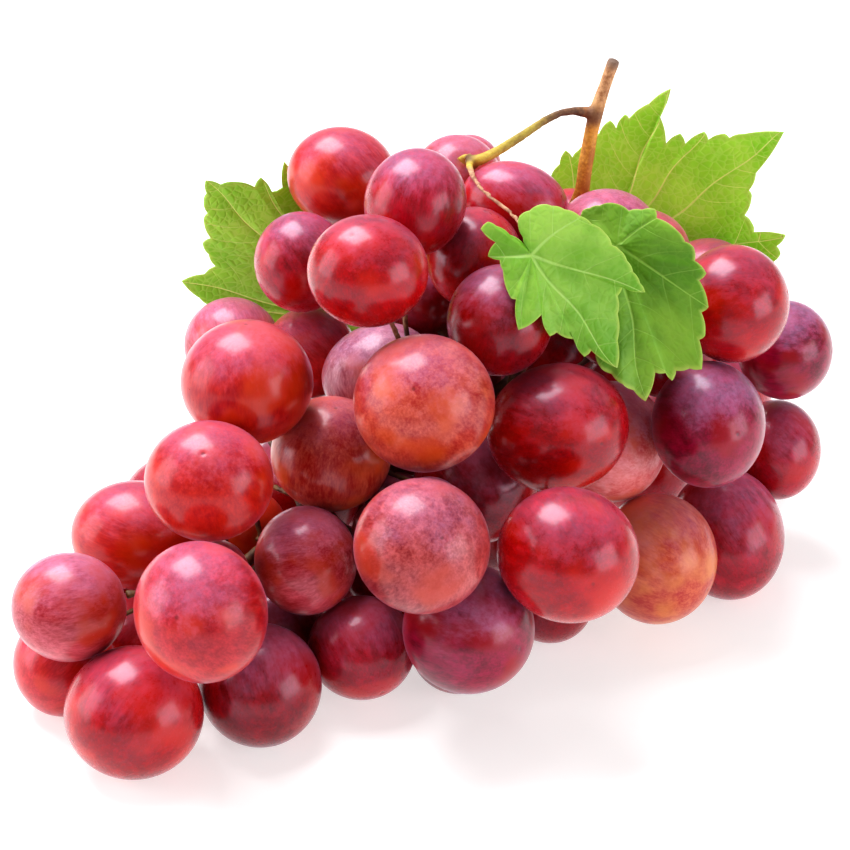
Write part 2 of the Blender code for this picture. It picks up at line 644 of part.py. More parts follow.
def leaf_frame(leaf):
    """The plane a leaf lies in: its base point and its normal, towards its free side."""
    base = seen_at(*leaf.base, leaf.base_height * MM)
    tip = seen_at(*leaf.tip, leaf.tip_height * MM)
    side = seen_at(*leaf.side, leaf.side_height * MM)
    normal = np.cross(tip - base, side - base)
    normal /= np.linalg.norm(normal)
    if normal @ VIEW_AHEAD * leaf.facing > 0:
        normal = -normal
    return base, normal


def leaf_surface(leaf):
    """The blade's middle surface before it is draped: places, rings by edge points.

    Each edge pixel is met by its sight line on the leaf's plane, and the rings are
    shares of the way from the base to the edge. The blade arches back with the
    square of that share, waves with it round the edge, and dips along its folds.
    """
    base, normal = leaf_frame(leaf)
    edge = np.array(leaf.edge, dtype=float)
    rays = sight(edge[:, 0], edge[:, 1])
    edge_places = EYE + rays * ((base - EYE) @ normal / (rays @ normal))[:, None]
    turn = np.arctan2(leaf.base[1] - edge[:, 1], edge[:, 0] - leaf.base[0])
    reach = np.linalg.norm(edge_places - base, axis=1)
    rows = []
    for share in BLADE_RINGS:
        rise = -leaf.arch * MM * share ** 2 * reach / reach.max()
        rise = rise + leaf.wave_depth * MM * share ** 2 * np.sin(leaf.waves * turn)
        for fold_turn, depth in leaf.folds:
            off = np.angle(np.exp(1j * (turn - math.radians(fold_turn))))
            rise = rise - depth * MM * share * np.exp(-(off / FOLD_WIDTH) ** 2)
        rows.append(base + (edge_places - base) * share + rise[:, None] * normal)
    return base, normal, np.array(rows)


def tree_of(objects):
    """A search tree over the faces of several objects."""
    verts = []
    faces = []
    for item in objects:
        start = len(verts)
        verts.extend(item.matrix_world @ v.co for v in item.data.vertices)
        faces.extend([start + i for i in poly.vertices] for poly in item.data.polygons)
    return BVHTree.FromPolygons(verts, faces)


def drape(leaf, base, rows, obstacles):
    """Lifts a blade off what lies under it, smoothly and along its sight lines.

    The lift that each point needs is found by a bundle of rays that fall on it from
    its free side, and lifts are evened out with their neighbours, never below what
    is needed.
    """
    offsets = [np.zeros(3)]
    for ring in DRAPE_RINGS:
        for turn in np.linspace(0, 2 * math.pi, DRAPE_RAYS, endpoint=False):
            offsets.append(ring * (VIEW_RIGHT * math.cos(turn) + VIEW_UP * math.sin(turn)))

    def outward(points):
        ray = (EYE - points) * leaf.facing
        return ray / np.linalg.norm(ray, axis=-1)[..., None]

    def needed(point):
        lift = -np.inf
        way = outward(point)
        for offset in offsets:
            origin = Vector(point + offset + way * DRAPE_REACH)
            distance = obstacles.ray_cast(origin, Vector(-way), 2 * DRAPE_REACH)[3]
            if distance is not None:
                lift = max(lift, DRAPE_REACH - distance)
        return lift + BLADE_LIFT

    need = np.array([[needed(point) for point in row] for row in rows])
    base_need = max(needed(base), 0.0)
    lift = np.maximum(need, 0.0)
    base_lift = base_need
    for _ in range(DRAPE_ROUNDS):
        inner = np.vstack((np.full(lift.shape[1], base_lift), lift[:-1]))
        outer = np.vstack((lift[1:], lift[-1:]))
        sides = np.roll(lift, 1, axis=1) + np.roll(lift, -1, axis=1)
        lift = np.maximum((inner + outer + sides) / 4, np.maximum(need, 0.0))
        base_lift = max(lift[0].mean(), base_need)
    return base + outward(base) * base_lift, rows + lift[:, :, None] * outward(rows)


def blade_normals(base, normal, rows):
    """The blade's own normals at its points, from the slopes along and round it."""
    full = np.vstack((np.tile(base, (1, rows.shape[1], 1)), rows))
    outward = np.gradient(full, axis=0)[1:]
    around = np.roll(rows, -1, axis=1) - np.roll(rows, 1, axis=1)
    cross = np.cross(outward, around)
    cross /= np.linalg.norm(cross, axis=2)[:, :, None]
    cross *= np.sign(cross @ normal)[:, :, None]
    evened = cross + np.roll(cross, 1, axis=1) + np.roll(cross, -1, axis=1) + normal
    return evened / np.linalg.norm(evened, axis=2)[:, :, None]


def leaf_object(leaf, base, normal, rows, material):
    """A blade of even thickness, with the same triangles on both faces."""
    bm = bmesh.new()
    count = rows.shape[1]
    normals = blade_normals(base, normal, rows)
    faces = []
    for half in (BLADE_THICKNESS / 2, -BLADE_THICKNESS / 2):
        middle = bm.verts.new(base + half * normal)
        rings = [[bm.verts.new(place) for place in row] for row in rows + half * normals]
        faces.append((middle, rings))
    for middle, rings in faces:
        for index in range(count):
            following = (index + 1) % count
            bm.faces.new((middle, rings[0][index], rings[0][following]))
            for inner, outer in zip(rings, rings[1:]):
                bm.faces.new((inner[index], outer[index], outer[following]))
                bm.faces.new((inner[index], outer[following], inner[following]))
    top = faces[0][1][-1]
    bottom = faces[1][1][-1]
    for index in range(count):
        following = (index + 1) % count
        bm.faces.new((top[index], bottom[index], bottom[following]))
        bm.faces.new((top[index], bottom[following], top[following]))
    return make_object(leaf.name, bm, material)


def grape_mesh(berries, index, sides, rings, resting):
    """A berry, with a small flat spot where it rests on the surface."""
    place = berries.place[index]
    axis = berries.axis[index]
    half_long = berries.half_long[index]
    half_wide = berries.half_wide[index]
    bm = bmesh.new()
    bmesh.ops.create_uvsphere(bm, u_segments=sides, v_segments=rings, radius=1.0)
    turn = Vector((0, 0, 1)).rotation_difference(Vector(axis))
    for vert in bm.verts:
        scaled = Vector((vert.co.x * half_wide, vert.co.y * half_wide, vert.co.z * half_long))
        vert.co = turn @ scaled + Vector(place)
    if resting:
        everything = bm.verts[:] + bm.edges[:] + bm.faces[:]
        cut = bmesh.ops.bisect_plane(bm, geom=everything, plane_co=(0, 0, 0),
                                     plane_no=(0, 0, 1), clear_inner=True)
        rim = [item for item in cut["geom_cut"] if isinstance(item, bmesh.types.BMEdge)]
        if rim:
            bmesh.ops.contextual_create(bm, geom=rim)
    bmesh.ops.triangulate(bm, faces=bm.faces)
    return bm


def join_all(first, others):
    """One Boolean union of an object with several others, applied."""
    group = bpy.data.collections.new(first.name + "_parts")
    bpy.context.scene.collection.children.link(group)
    for item in others:
        bpy.context.scene.collection.objects.unlink(item)
        group.objects.link(item)
    union = first.modifiers.new("join", "BOOLEAN")
    union.operation = "UNION"
    union.operand_type = "COLLECTION"
    union.collection = group
    union.solver = "EXACT"
    graph = bpy.context.evaluated_depsgraph_get()
    joined = bpy.data.meshes.new_from_object(first.evaluated_get(graph))
    first.modifiers.clear()
    first.data = joined
    for item in list(group.objects):
        bpy.data.objects.remove(item, do_unlink=True)
    bpy.data.collections.remove(group)
    joined.shade_smooth()


def keep_largest_body(mesh):
    """Drops loose scraps of a mesh, and fills the hollows that a union sealed."""
    bm = bmesh.new()
    bm.from_mesh(mesh)
    waiting = set(bm.verts)
    bodies = []
    while waiting:
        body = set()
        front = [waiting.pop()]
        while front:
            vert = front.pop()
            body.add(vert)
            near = {edge.other_vert(vert) for edge in vert.link_edges} & waiting
            waiting -= near
            front.extend(near)
        bodies.append(body)
    bodies.sort(key=len)
    for body in bodies[:-1]:
        bmesh.ops.delete(bm, geom=list(body), context="VERTS")
    bm.to_mesh(mesh)
    bm.free()


def make_seen_grapes(berries, resting, material):
    return [make_object(grape.name, grape_mesh(berries, index, GRAPE_SIDES, GRAPE_RINGS,
                                               resting[index]), material)
            for index, grape in enumerate(SEEN_GRAPES)]


def make_back_grapes(berries, groups, material):
    lowest = berries.lowest()
    for number, group in enumerate(groups, start=1):
        parts = []
        for member in group:
            rests = berries.place[member, 2] < lowest[member]
            bm = grape_mesh(berries, member, BACK_SIDES, BACK_RINGS, rests)
            parts.append(make_object(f"grapes_back_{number:02d}", bm, material))
        if len(parts) > 1:
            join_all(parts[0], parts[1:])


def tube(name, places, radii, sides, material):
    """A round rod along a route, closed at both ends."""
    bm = bmesh.new()
    slope = np.gradient(places, axis=0)
    slope /= np.linalg.norm(slope, axis=1)[:, None]
    across = np.cross(slope[0], (0.3, 0.2, 0.9))
    across /= np.linalg.norm(across)
    turns = np.linspace(0, 2 * math.pi, sides, endpoint=False)
    rings = []
    for place, direction, radius in zip(places, slope, radii):
        across = across - direction * (across @ direction)
        across /= np.linalg.norm(across)
        other = np.cross(direction, across)
        rings.append([bm.verts.new(place + radius * (across * math.cos(turn)
                                                     + other * math.sin(turn)))
                      for turn in turns])
    for near, far in zip(rings, rings[1:]):
        for index in range(sides):
            following = (index + 1) % sides
            bm.faces.new((near[index], near[following], far[following], far[index]))
    bm.faces.new(rings[0][::-1])
    bm.faces.new(rings[-1])
    bmesh.ops.triangulate(bm, faces=bm.faces)
    return make_object(name, bm, material)


def hull_planes(points):
    """The outward planes of the smallest convex body round some points."""
    bm = bmesh.new()
    for point in points:
        bm.verts.new(point)
    bmesh.ops.convex_hull(bm, input=bm.verts)
    bmesh.ops.recalc_face_normals(bm, faces=bm.faces)
    normals = np.array([face.normal for face in bm.faces if face.calc_area() > 0])
    offsets = np.array([face.normal.dot(face.verts[0].co) for face in bm.faces
                        if face.calc_area() > 0])
    bm.free()
    return normals, offsets


def in_open_view(points, berries):
    """Whether each point shows in the picture, with no grape in front of it."""
    across, down, depth = to_picture(points)
    grape_across, grape_down, grape_depth = to_picture(berries.place)
    radius = PICTURE_FOCAL / grape_depth * (berries.half_long + berries.half_wide) / 2
    seen = np.ones(len(points), dtype=bool)
    for index in range(len(berries.place)):
        apart = np.hypot(across - grape_across[index], down - grape_down[index])
        seen &= (apart > radius[index]) | (depth < grape_depth[index])
    return seen


class StalkSpace:
    """The room between the grapes, as a grid of cells with the cheapest way to each."""

    def __init__(self, berries, blade_points):
        self.berries = berries
        self.low = berries.place.min(axis=0) - GRID_MARGIN
        high = berries.place.max(axis=0) + GRID_MARGIN
        self.shape = np.ceil((high - self.low) / STALK_CELL).astype(int)
        axes = [self.low[k] + STALK_CELL * np.arange(self.shape[k]) for k in range(3)]
        grid = np.stack(np.meshgrid(*axes, indexing="ij"), axis=-1).reshape(-1, 3)
        room = np.full(len(grid), np.inf)
        for start in range(0, len(grid), GRID_BATCH):
            part = grid[start:start + GRID_BATCH]
            room[start:start + GRID_BATCH] = berries.gap_to(part).min(axis=1)
        normals, offsets = hull_planes(berries.place)
        outside = np.full(len(grid), -np.inf)
        for normal, offset in zip(normals, offsets):
            outside = np.maximum(outside, grid @ normal - offset)
        free = (room > STALK_RADIUS + CLEARANCE) & (outside < HULL_REACH)
        free &= grid[:, 2] > STALK_RADIUS + FLOOR_ROOM
        cells = np.round((blade_points - self.low) / STALK_CELL).astype(int)
        blocked = np.zeros(self.shape, dtype=bool)
        for dx in (-1, 0, 1):
            for dy in (-1, 0, 1):
                for dz in (-1, 0, 1):
                    moved = np.clip(cells + (dx, dy, dz), 0, self.shape - 1)
                    blocked[tuple(moved.T)] = True
        self.free = (free & ~blocked.reshape(-1)).reshape(self.shape)
        tight = TIGHT_PRICE / np.maximum(room, LEAST_ROOM)
        shallow = np.clip(1 + outside / SHALLOW_DEPTH, 0, 1)
        price = 1 + tight + SHALLOW_PRICE * shallow + OUTSIDE_PRICE * (outside > 0)
        price += SEEN_PRICE * in_open_view(grid, berries)
        self.price = price.reshape(self.shape)
        self.grid = grid.reshape(*self.shape, 3)

    def cell_of(self, points):
        cells = np.round((np.asarray(points) - self.low) / STALK_CELL).astype(int)
        return np.clip(cells, 0, self.shape - 1)

    def spread(self, sources):
        """The cheapest way from the sources to every free cell, cell by cell outwards."""
        flat_free = self.free.reshape(-1).tolist()
        flat_price = self.price.reshape(-1).tolist()
        wide, deep, tall = (int(n) for n in self.shape)
        moves = []
        for dx in (-1, 0, 1):
            for dy in (-1, 0, 1):
                for dz in (-1, 0, 1):
                    if dx or dy or dz:
                        length = math.sqrt(dx * dx + dy * dy + dz * dz)
                        moves.append((dx * deep * tall + dy * tall + dz, length))
        inner = np.zeros(self.shape, dtype=bool)
        inner[1:-1, 1:-1, 1:-1] = True
        inner = inner.reshape(-1).tolist()
        cost = [math.inf] * (wide * deep * tall)
        before = [-1] * (wide * deep * tall)
        queue = []
        for cell, start_cost in sources:
            key = int(cell[0]) * deep * tall + int(cell[1]) * tall + int(cell[2])
            cost[key] = start_cost
            queue.append((start_cost, key))
        heapq.heapify(queue)
        while queue:
            reached, key = heapq.heappop(queue)
            if reached > cost[key] or not inner[key]:
                continue
            for move, length in moves:
                following = key + move
                if flat_free[following]:
                    total = reached + length * flat_price[following]
                    if total < cost[following]:
                        cost[following] = total
                        before[following] = key
                        heapq.heappush(queue, (total, following))
        self.cost = np.array(cost)
        self.before = before

    def key_of(self, points):
        cells = self.cell_of(points)
        return (cells[..., 0] * self.shape[1] + cells[..., 1]) * self.shape[2] + cells[..., 2]

    def place_of(self, key):
        return self.grid.reshape(-1, 3)[key]


def stalk_end(berries, index, space, directions):
    """Where a grape's stalk meets it: the direction that is cheapest to come to."""
    own = berries.place[index]
    along = directions @ berries.axis[index]
    reach = np.sqrt(berries.half_long[index] ** 2 * along ** 2
                    + berries.half_wide[index] ** 2 * (1 - along ** 2))
    near = own + directions * (reach + CUSHION_LENGTH)[:, None]
    far = own + directions * (reach + STALK_START)[:, None]
    gaps_near = berries.gap_to(near)
    gaps_near[:, index] = np.inf
    gaps_far = berries.gap_to(far)
    gaps_far[:, index] = np.inf
    good = gaps_near.min(axis=1) > CUSHION_RADIUS + CLEARANCE
    good &= gaps_far.min(axis=1) > STALK_RADIUS + CLEARANCE
    cost = np.where(good, space.cost[space.key_of(far)], np.inf)
    best = int(cost.argmin())
    if not np.isfinite(cost[best]):
        return None
    surface = own + directions[best] * (reach[best] + CLEARANCE)
    return surface, near[best], int(space.key_of(far)[best]), CUSHION_RADIUS


def grow_stalks(berries, leaves, main_places, blade_points):
    """Routes from the rachis to every grape and leaf base, joined into one tree."""
    space = StalkSpace(berries, blade_points)
    sources = [(cell, 0.0) for cell in {tuple(c) for c in space.cell_of(main_places)}]
    space.spread(sources)
    directions = even_directions(STALK_DIRECTIONS)
    ends = []
    for index in range(len(berries.place)):
        end = stalk_end(berries, index, space, directions)
        if end is not None:
            ends.append(end)
    for base, normal in leaves:
        foot = base - normal * (BLADE_THICKNESS / 2 + LEAF_FOOT_GAP)
        for drop in LEAF_STALK_DROPS:
            near = base - normal * drop * MM
            key = int(space.key_of(near))
            if np.isfinite(space.cost[key]):
                ends.append((foot, near, key, STALK_LEAST))
                break
    ends.sort(key=lambda end: -space.cost[end[2]])
    uses = {}
    ways = []
    for surface, near, key, end_radius in ends:
        way = []
        step = key
        while step != -1:
            way.append(step)
            uses[step] = uses.get(step, 0) + 1
            step = space.before[step]
        ways.append((surface, near, way, end_radius))
    placed = {}
    stalks = []
    for surface, near, way, end_radius in ways:
        own = []
        joint = None
        for key in way:
            if key in placed:
                joint = key
                break
            own.append(key)
        places = [space.place_of(key) for key in own]
        if joint is not None:
            places.append(placed[joint])
        places = np.array([surface, near] + places)
        places = ease_route(places, berries)
        counts = [uses[key] for key in own]
        counts = [1, 1] + counts + ([uses[joint]] if joint is not None else [])
        radii = STALK_RADIUS * np.array(counts[:len(places)], dtype=float) ** STALK_GROWTH
        radii[0] = end_radius
        for key, place in zip(own, places[2:]):
            placed[key] = place
        room = berries.gap_to(places).min(axis=1) - CLEARANCE
        room[:2] = np.inf
        radii = np.minimum(radii, np.maximum(room, STALK_LEAST))
        stalks.append((places, radii))
    return stalks


def ease_route(places, berries):
    """Rounds off a stepped route where the room allows, keeping its ends."""
    places = places.copy()
    if len(places) > 4:
        for _ in range(EASE_ROUNDS):
            middle = (places[1:-2] + places[3:]) / 2
            good = berries.gap_to(middle).min(axis=1) > STALK_RADIUS + CLEARANCE
            places[2:-1] = np.where(good[:, None], middle, places[2:-1])
    return places


def thin_route(places, radii, berries):
    """Keeps as few points of a route as stay clear of the grapes, and its ends."""
    keep = [0, 1]
    last = len(places) - 1
    shares = np.linspace(0, 1, 9)[:, None]
    while keep[-1] < last:
        start = keep[-1]
        following = start + 1
        for index in range(start + 2, last + 1):
            chord = places[index] - places[start]
            if np.linalg.norm(chord) > STALK_STEP:
                break
            room = berries.gap_to(places[start] + chord * shares).min()
            if room < radii[start:index + 1].max() + CLEARANCE:
                break
            following = index
        keep.append(following)
    return places[keep], radii[keep]


def make_rachis(stalks, berries, material):
    """The cut stem, its side arm, the rachis and every stalk, as one piece."""
    main, main_radii = smooth_route(*rachis_route(), STEM_STEP)
    arm, arm_radii = smooth_route(*stem_route(SIDE_ARM), ARM_STEP)
    twig, twig_radii = smooth_route(*stem_route(LEAF_TWIG), TWIG_STEP)
    first = tube("rachis", main, main_radii, STEM_SIDES, material)
    others = [tube("arm", arm, arm_radii, ARM_SIDES, material),
              tube("twig", twig, twig_radii, STALK_SIDES, material)]
    for places, radii in stalks:
        places, radii = thin_route(places, radii, berries)
        others.append(tube("stalk", places, radii, STALK_SIDES, material))
    join_all(first, others)
    keep_largest_body(first.data)


def sheet_points(base, rows):
    """Points about a millimetre apart over a blade's middle surface."""
    out = []
    full = np.vstack((np.tile(base, (1, rows.shape[1], 1)), rows))
    following = np.roll(full, -1, axis=1)
    for inner, outer, inner_next, outer_next in zip(full, full[1:], following, following[1:]):
        for out_share in np.linspace(0, 1, 9):
            near = inner * (1 - out_share) + outer * out_share
            far = inner_next * (1 - out_share) + outer_next * out_share
            for round_share in np.linspace(0, 1, 7):
                out.append(near * (1 - round_share) + far * round_share)
    return np.vstack(out)


def lay_leaves(seen, material):
    """Lays each leaf on the grapes and on the leaves under it.

    Gives each leaf's base and normal, and points all over the blades.
    """
    blades = []
    feet = []
    points = []
    for leaf in LEAVES:
        base, normal, rows = leaf_surface(leaf)
        base, rows = drape(leaf, base, rows, tree_of(seen + blades))
        blades.append(leaf_object(leaf, base, normal, rows, material))
        feet.append((base, normal))
        points.append(sheet_points(base, rows))
    return feet, np.vstack(points)


def centre_on_origin():
    """Moves everything level so that the origin is under the middle of the whole."""
    places = np.array([vert.co for item in bpy.data.objects for vert in item.data.vertices])
    middle = (places.min(axis=0) + places.max(axis=0)) / 2
    shift = Vector((-middle[0], -middle[1], 0.0))
    for item in bpy.data.objects:
        for vert in item.data.vertices:
            vert.co += shift


def build():
    clear_scene()
    skin = make_material("skin")
    stem = make_material("stem")
    blade = make_material("blade")

    main, main_radii = smooth_route(*rachis_route(), POST_STEP)
    arm, arm_radii = smooth_route(*stem_route(SIDE_ARM), POST_STEP)
    twig, twig_radii = smooth_route(*stem_route(LEAF_TWIG), POST_STEP)
    posts = np.vstack((main, arm, twig))
    post_radii = np.concatenate((main_radii, arm_radii, twig_radii))

    berries, resting = lay_seen_grapes()
    push_apart(berries, resting, posts, post_radii)
    seen = make_seen_grapes(berries, resting, skin)
    feet, blade_points = lay_leaves(seen, blade)
    groups = BackGrapes(berries, posts, post_radii, blade_points).fill()
    make_back_grapes(berries, groups, skin)

    carriers = np.vstack((main[main[:, 2] < STALKS_BELOW], arm[-1]))
    stalks = grow_stalks(berries, feet, carriers, blade_points)
    make_rachis(stalks, berries, stem)
    centre_on_origin()


build()
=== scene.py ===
"""A bunch of large red table grapes lying on its side, with its cut stem and vine leaves.

Metres, +Z up. Each grape is a smooth berry on the ellipsoid or sphere that its plain
solid was cut to, with a dimple at its stalk and a scar at its blossom end. The stem and
its stalks are one body with rounded bark. Each leaf is a fine toothed blade, laid over
the corners of its plain solid, with veins that one formula gives to shape and colour.
"""

import math
from collections import namedtuple

import bpy
import numpy as np
from mathutils import Matrix
from numpy.linalg import norm


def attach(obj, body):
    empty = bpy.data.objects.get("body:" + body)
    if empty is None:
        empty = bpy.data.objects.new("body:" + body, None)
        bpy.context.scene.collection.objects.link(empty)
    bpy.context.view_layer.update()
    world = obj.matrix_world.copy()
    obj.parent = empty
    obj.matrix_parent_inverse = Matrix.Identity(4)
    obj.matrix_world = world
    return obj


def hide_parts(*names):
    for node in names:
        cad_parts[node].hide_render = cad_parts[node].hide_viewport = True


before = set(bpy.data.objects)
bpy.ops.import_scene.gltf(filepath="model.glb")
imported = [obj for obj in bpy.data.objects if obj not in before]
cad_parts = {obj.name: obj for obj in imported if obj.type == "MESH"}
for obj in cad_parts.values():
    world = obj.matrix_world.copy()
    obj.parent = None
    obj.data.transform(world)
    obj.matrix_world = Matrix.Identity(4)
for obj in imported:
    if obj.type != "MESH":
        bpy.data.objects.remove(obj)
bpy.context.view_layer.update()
scene = bpy.context.scene

MM = 0.001

# The picture's frame: where the camera stands, and its lens
PICTURE_SIDE = 850
PICTURE_FOCAL = 3000.0  # pixels
SENSOR_WIDTH = 36.0  # mm
AIM = np.array((-0.502, 4.043, 40.0)) * MM
VIEW_DISTANCE = 600.0 * MM
LOOK_DOWN = math.radians(30.0)
LOOK_TURN = math.radians(30.0)
VIEW_RIGHT = np.array((math.cos(LOOK_TURN), -math.sin(LOOK_TURN), 0.0))
VIEW_AWAY = np.array((math.sin(LOOK_TURN), math.cos(LOOK_TURN), 0.0))
VIEW_AHEAD = VIEW_AWAY * math.cos(LOOK_DOWN) - np.array((0, 0, math.sin(LOOK_DOWN)))
VIEW_UP = VIEW_AWAY * math.sin(LOOK_DOWN) + np.array((0, 0, math.cos(LOOK_DOWN)))
EYE = AIM - VIEW_AHEAD * VIEW_DISTANCE

# Light and floor
FLOOR_SIZE = 14.0
FLOOR_DROP = 0.05 * MM  # under the resting flats
WORLD_LIGHT = 0.36
FLOOR_GLOW = 0.5  # a little light of its own, which keeps shadows pale
SoftLight = namedtuple("SoftLight", "name right up ahead width height power")
SOFT_LIGHTS = (
    SoftLight("light_top", right=-0.35, up=1.1, ahead=0.35, width=0.9, height=0.65, power=19.5),
    SoftLight("light_left", right=-1.15, up=0.35, ahead=-0.1, width=0.8, height=0.9, power=7.5),
    SoftLight("light_right", right=1.0, up=0.2, ahead=-0.55, width=0.8, height=0.7, power=6.5),
)

# Reading the plain solids
WELD = 0.001 * MM
FLOOR_TRIM = 0.01 * MM  # corners below this belong to a resting flat

# Berries
BERRY_GROWTH = 0.14 * MM  # how far the skins stand outside the plain solids
BERRY_SIDES = 64
BERRY_RINGS = 48
BACK_SIDES = 48
BACK_RINGS = 36
POLE_CROWDING = 0.07  # how much closer the rings stand near the poles
LUMP_DEPTH = 0.006  # share of the radius
LUMP_WAVES = 5
LUMP_PITCH = (1.2, 3.0)  # radians of a wave over one radius
DIMPLE_DEPTH = 0.55 * MM
DIMPLE_RADIUS = 1.9 * MM
SCAR_DEPTH = 0.16 * MM
SCAR_RADIUS = 0.42 * MM
PRESS_REACH = 1.5 * MM  # a pressed side shapes the skin from this far inside
PRESS_SOFTNESS = 0.35 * MM  # how gradually a pressed side turns flat
PATTERN_SPREAD = 50  # how far apart the berries' patterns are taken, in radii
BERRY_SEED = 100
BACK_SEED = 700

# Spheres that the back berries were cut to
SPHERE_LOW = 6.4 * MM  # the radii that are looked for
SPHERE_HIGH = 12.7 * MM
SPHERE_FIT = 0.006 * MM  # how far off its sphere a corner may lie
SPHERE_CORNERS = 14  # the fewest corners that make a sphere sure
SPHERE_TRIES = 5000
SPHERE_NEIGHBOURS = 14
SPHERE_FLAT = 1e-12  # tries whose four corners are nearly flat are dropped
SPHERES_MOST = 4

# Stalk ends: each is one small triangle facing its berry
STALK_END_SIDE = 3.4 * MM  # the longest that its sides may be
STALK_END_FACING = 0.75  # the least cosine between its facing and the berry's way

# Stem and stalks
BARK_CELL = 0.36 * MM
BARK_SMOOTHING = 8  # rounds, each halfway to the mean of the neighbours
BARK_GROWTH = 0.12 * MM  # outwards again after the smoothing
BARK_RIDGES = 0.05 * MM
BARK_PITCH = ((2600, 900, 300), (-1100, 2400, 500), (700, -1900, 800))  # radians per metre

# Leaves
BLADE_THICKNESS = 0.42 * MM
BLADE_EDGE = 0.16 * MM  # thickness along the edge
SOLID_BLADE = 0.7 * MM  # thickness of the plain solids
BLADE_RING_SHARES = np.array((0.0, 0.34, 0.68, 1.0))
BLADE_ROWS = 64
BLADE_STEPS = 8  # columns between two corners of the edge
TOOTH_BULGE = 0.085  # share of a flank's length that it curves outwards
TOOTH_BULGE_MOST = 0.35 * MM
BLADE_EASING = 14  # rounds of smoothing over the blade's height
VEIN_SINK = 0.24 * MM
VEIN_SINK_WIDTH = 0.9 * MM
QUILT_RISE = 0.2 * MM
QUILT_FULL = 2.0 * MM  # the quilting is full from this far beside a main vein
SIDE_SPACING = 5.4 * MM
SIDE_LEAN = 0.55  # how far a side vein runs on for each mm aside
SIDE_CURVE = 42.0  # and how it bends towards the tip, per metre
SIDE_FADE = 2.4 * MM  # side veins fade out halfway between main veins
DRIFT = 0.45 * MM  # slow waves that curve the veins
DRIFT_PITCH = 330.0  # radians per metre

# Ends of the main veins in the picture, in pixels, for each leaf
VEIN_ENDS = {
    "leaf_back_left": ((206, 178), (182, 279), (261, 174), (285, 152), (209, 303), (318, 168),
                       (262, 352)),
    "leaf_back_right": ((672, 87), (785, 130), (788, 229), (566, 149), (705, 130), (540, 167),
                        (534, 219)),
    "leaf_front": ((617, 371), (645, 296), (488, 257), (580, 216)),
    "leaf_front_lower": ((642, 403), (705, 309), (566, 290), (657, 218)),
}

# The planes of the two leaves that hang behind: pixels across and down, heights in mm
HANGING_PLANES = {
    "leaf_back_left": ((345, 322, 42), (206, 178, 77), (182, 279, 52)),
    "leaf_back_right": ((592, 278, 41), (672, 87, 87), (785, 130, 80)),
}

# Patterns: a scale in repeats per metre, or per radius for streaks, lines and glow, the band
# of levels from where it sets in to where it is full, and how much it counts
Pattern = namedtuple("Pattern", "scale band share")

# Leaf patterns
MAIN_VEIN_WIDTH = 0.3 * MM
MAIN_VEIN_TAPER = 0.75  # share of its width that a vein loses on its way out
SIDE_VEIN_WIDTH = 0.13 * MM
SIDE_SLANT = 0.8  # side veins lean, so across them it is less far
VEIN_FADE = 1.5  # widths from its middle where a vein has faded out
NET = Pattern(620.0, (0.02, 0.12), 0.22)
NET_RISE_BAND = (0.0, 0.3)
TONE_SCALE = 70.0
TONE_BAND = (0.35, 0.68)
TIP_BAND = (0.95, 1.0)
TIP_SHARE = 0.55
UNDER_SHARE = 0.85
LEAF_RELIEF = 0.22 * MM

# Skin patterns
PATCHES = Pattern(85.0, (0.42, 0.58), 0.35)
STREAK_STRETCH = 0.25  # along the axis, so that streaks run from end to end
STREAKS = Pattern(7.0, (0.4, 0.62), 0.35)
LINES = Pattern(26.0, (0.36, 0.66), 0.3)
# Orange glow, painted as light shining through the skin: in random patches, and strongest near the
# stalk
GLOW = Pattern(1.2, (0.48, 0.66), 0.75)
STALK_GLOW_BAND = (4.0 * MM, 17.0 * MM)  # from the stalk, where the skin is most orange
STALK_GLOW_SHARE = 0.5
DOTS = Pattern(620.0, (0.07, 0.16), 0.3)
GRAIN_SCALE = 1500.0
GRAIN_DEPTH = 0.03 * MM
SCAR_BAND = (SCAR_RADIUS * 0.4, SCAR_RADIUS * 1.2)
SCAR_SHARE = 0.45
RING_BAND = (DIMPLE_RADIUS * 0.3, DIMPLE_RADIUS)
RING_SHARE = 0.5

# Bloom and painted highlight: lilac laid on thick where a skin faces up, painted as the reflection of
# the light overhead, and broken up by dust as real bloom is
BLOOM_AND_HIGHLIGHT_SHARE = 0.44  # the most that bloom hides of the skin
BLOOM_SPARSE = 0.1  # and how much of it lies on the undersides
TOP_HIGHLIGHT_BAND = (0.92, 1.62)  # of upward share and dust
DUST = Pattern(110.0, (0.46, 0.7), 1.1)
DUST_STREAKS = 0.15
FINE_DUST = Pattern(900.0, (0.25, 0.7), 0.35)

# Points on the stem: pixels across and down in the picture, and heights
STEM_TOP = ((614, 60), 102.0 * MM)
STEM_FOOT = ((582, 191), 75.0 * MM)
JOINT = ((593, 115), 90.5 * MM)
FORK = ((469, 161), 86.0 * MM)

# Bark patterns, and where one tone has turned into the next
BARK_FINE_SCALE = 1400.0  # repeats per metre
BARK_SLOW_SCALE = 260.0
BARK_BAND = (0.38, 0.62)
BARK_RELIEF = 0.16 * MM
JOINT_TURN = (-4.0 * MM, 5.0 * MM)  # over the joint's height: orange, tan
CUT_TURN = (0.8 * MM, 3.0 * MM)  # from the cut top: grey, tan
ARM_TURN = (6.0 * MM, 15.0 * MM)  # from the joint: brown, olive
FORK_TURN = (4.0 * MM, 10.0 * MM)  # from the fork: yellow, olive
FORK_DARK = (0.8 * MM, 2.6 * MM)  # from the fork: dark, yellow
TWIG_TURN = (-2.4 * MM, -0.9 * MM)  # over the fork in the picture: twig, arm
STEM_EDGE = (1.7 * MM, 2.5 * MM)  # off the stem's middle line: stem, arm
JOINT_DARK = (1.2 * MM, 3.2 * MM)  # from the joint: dark, bare
JOINT_SHARE = 0.75
STALK_BAND = (0.4, 0.62)
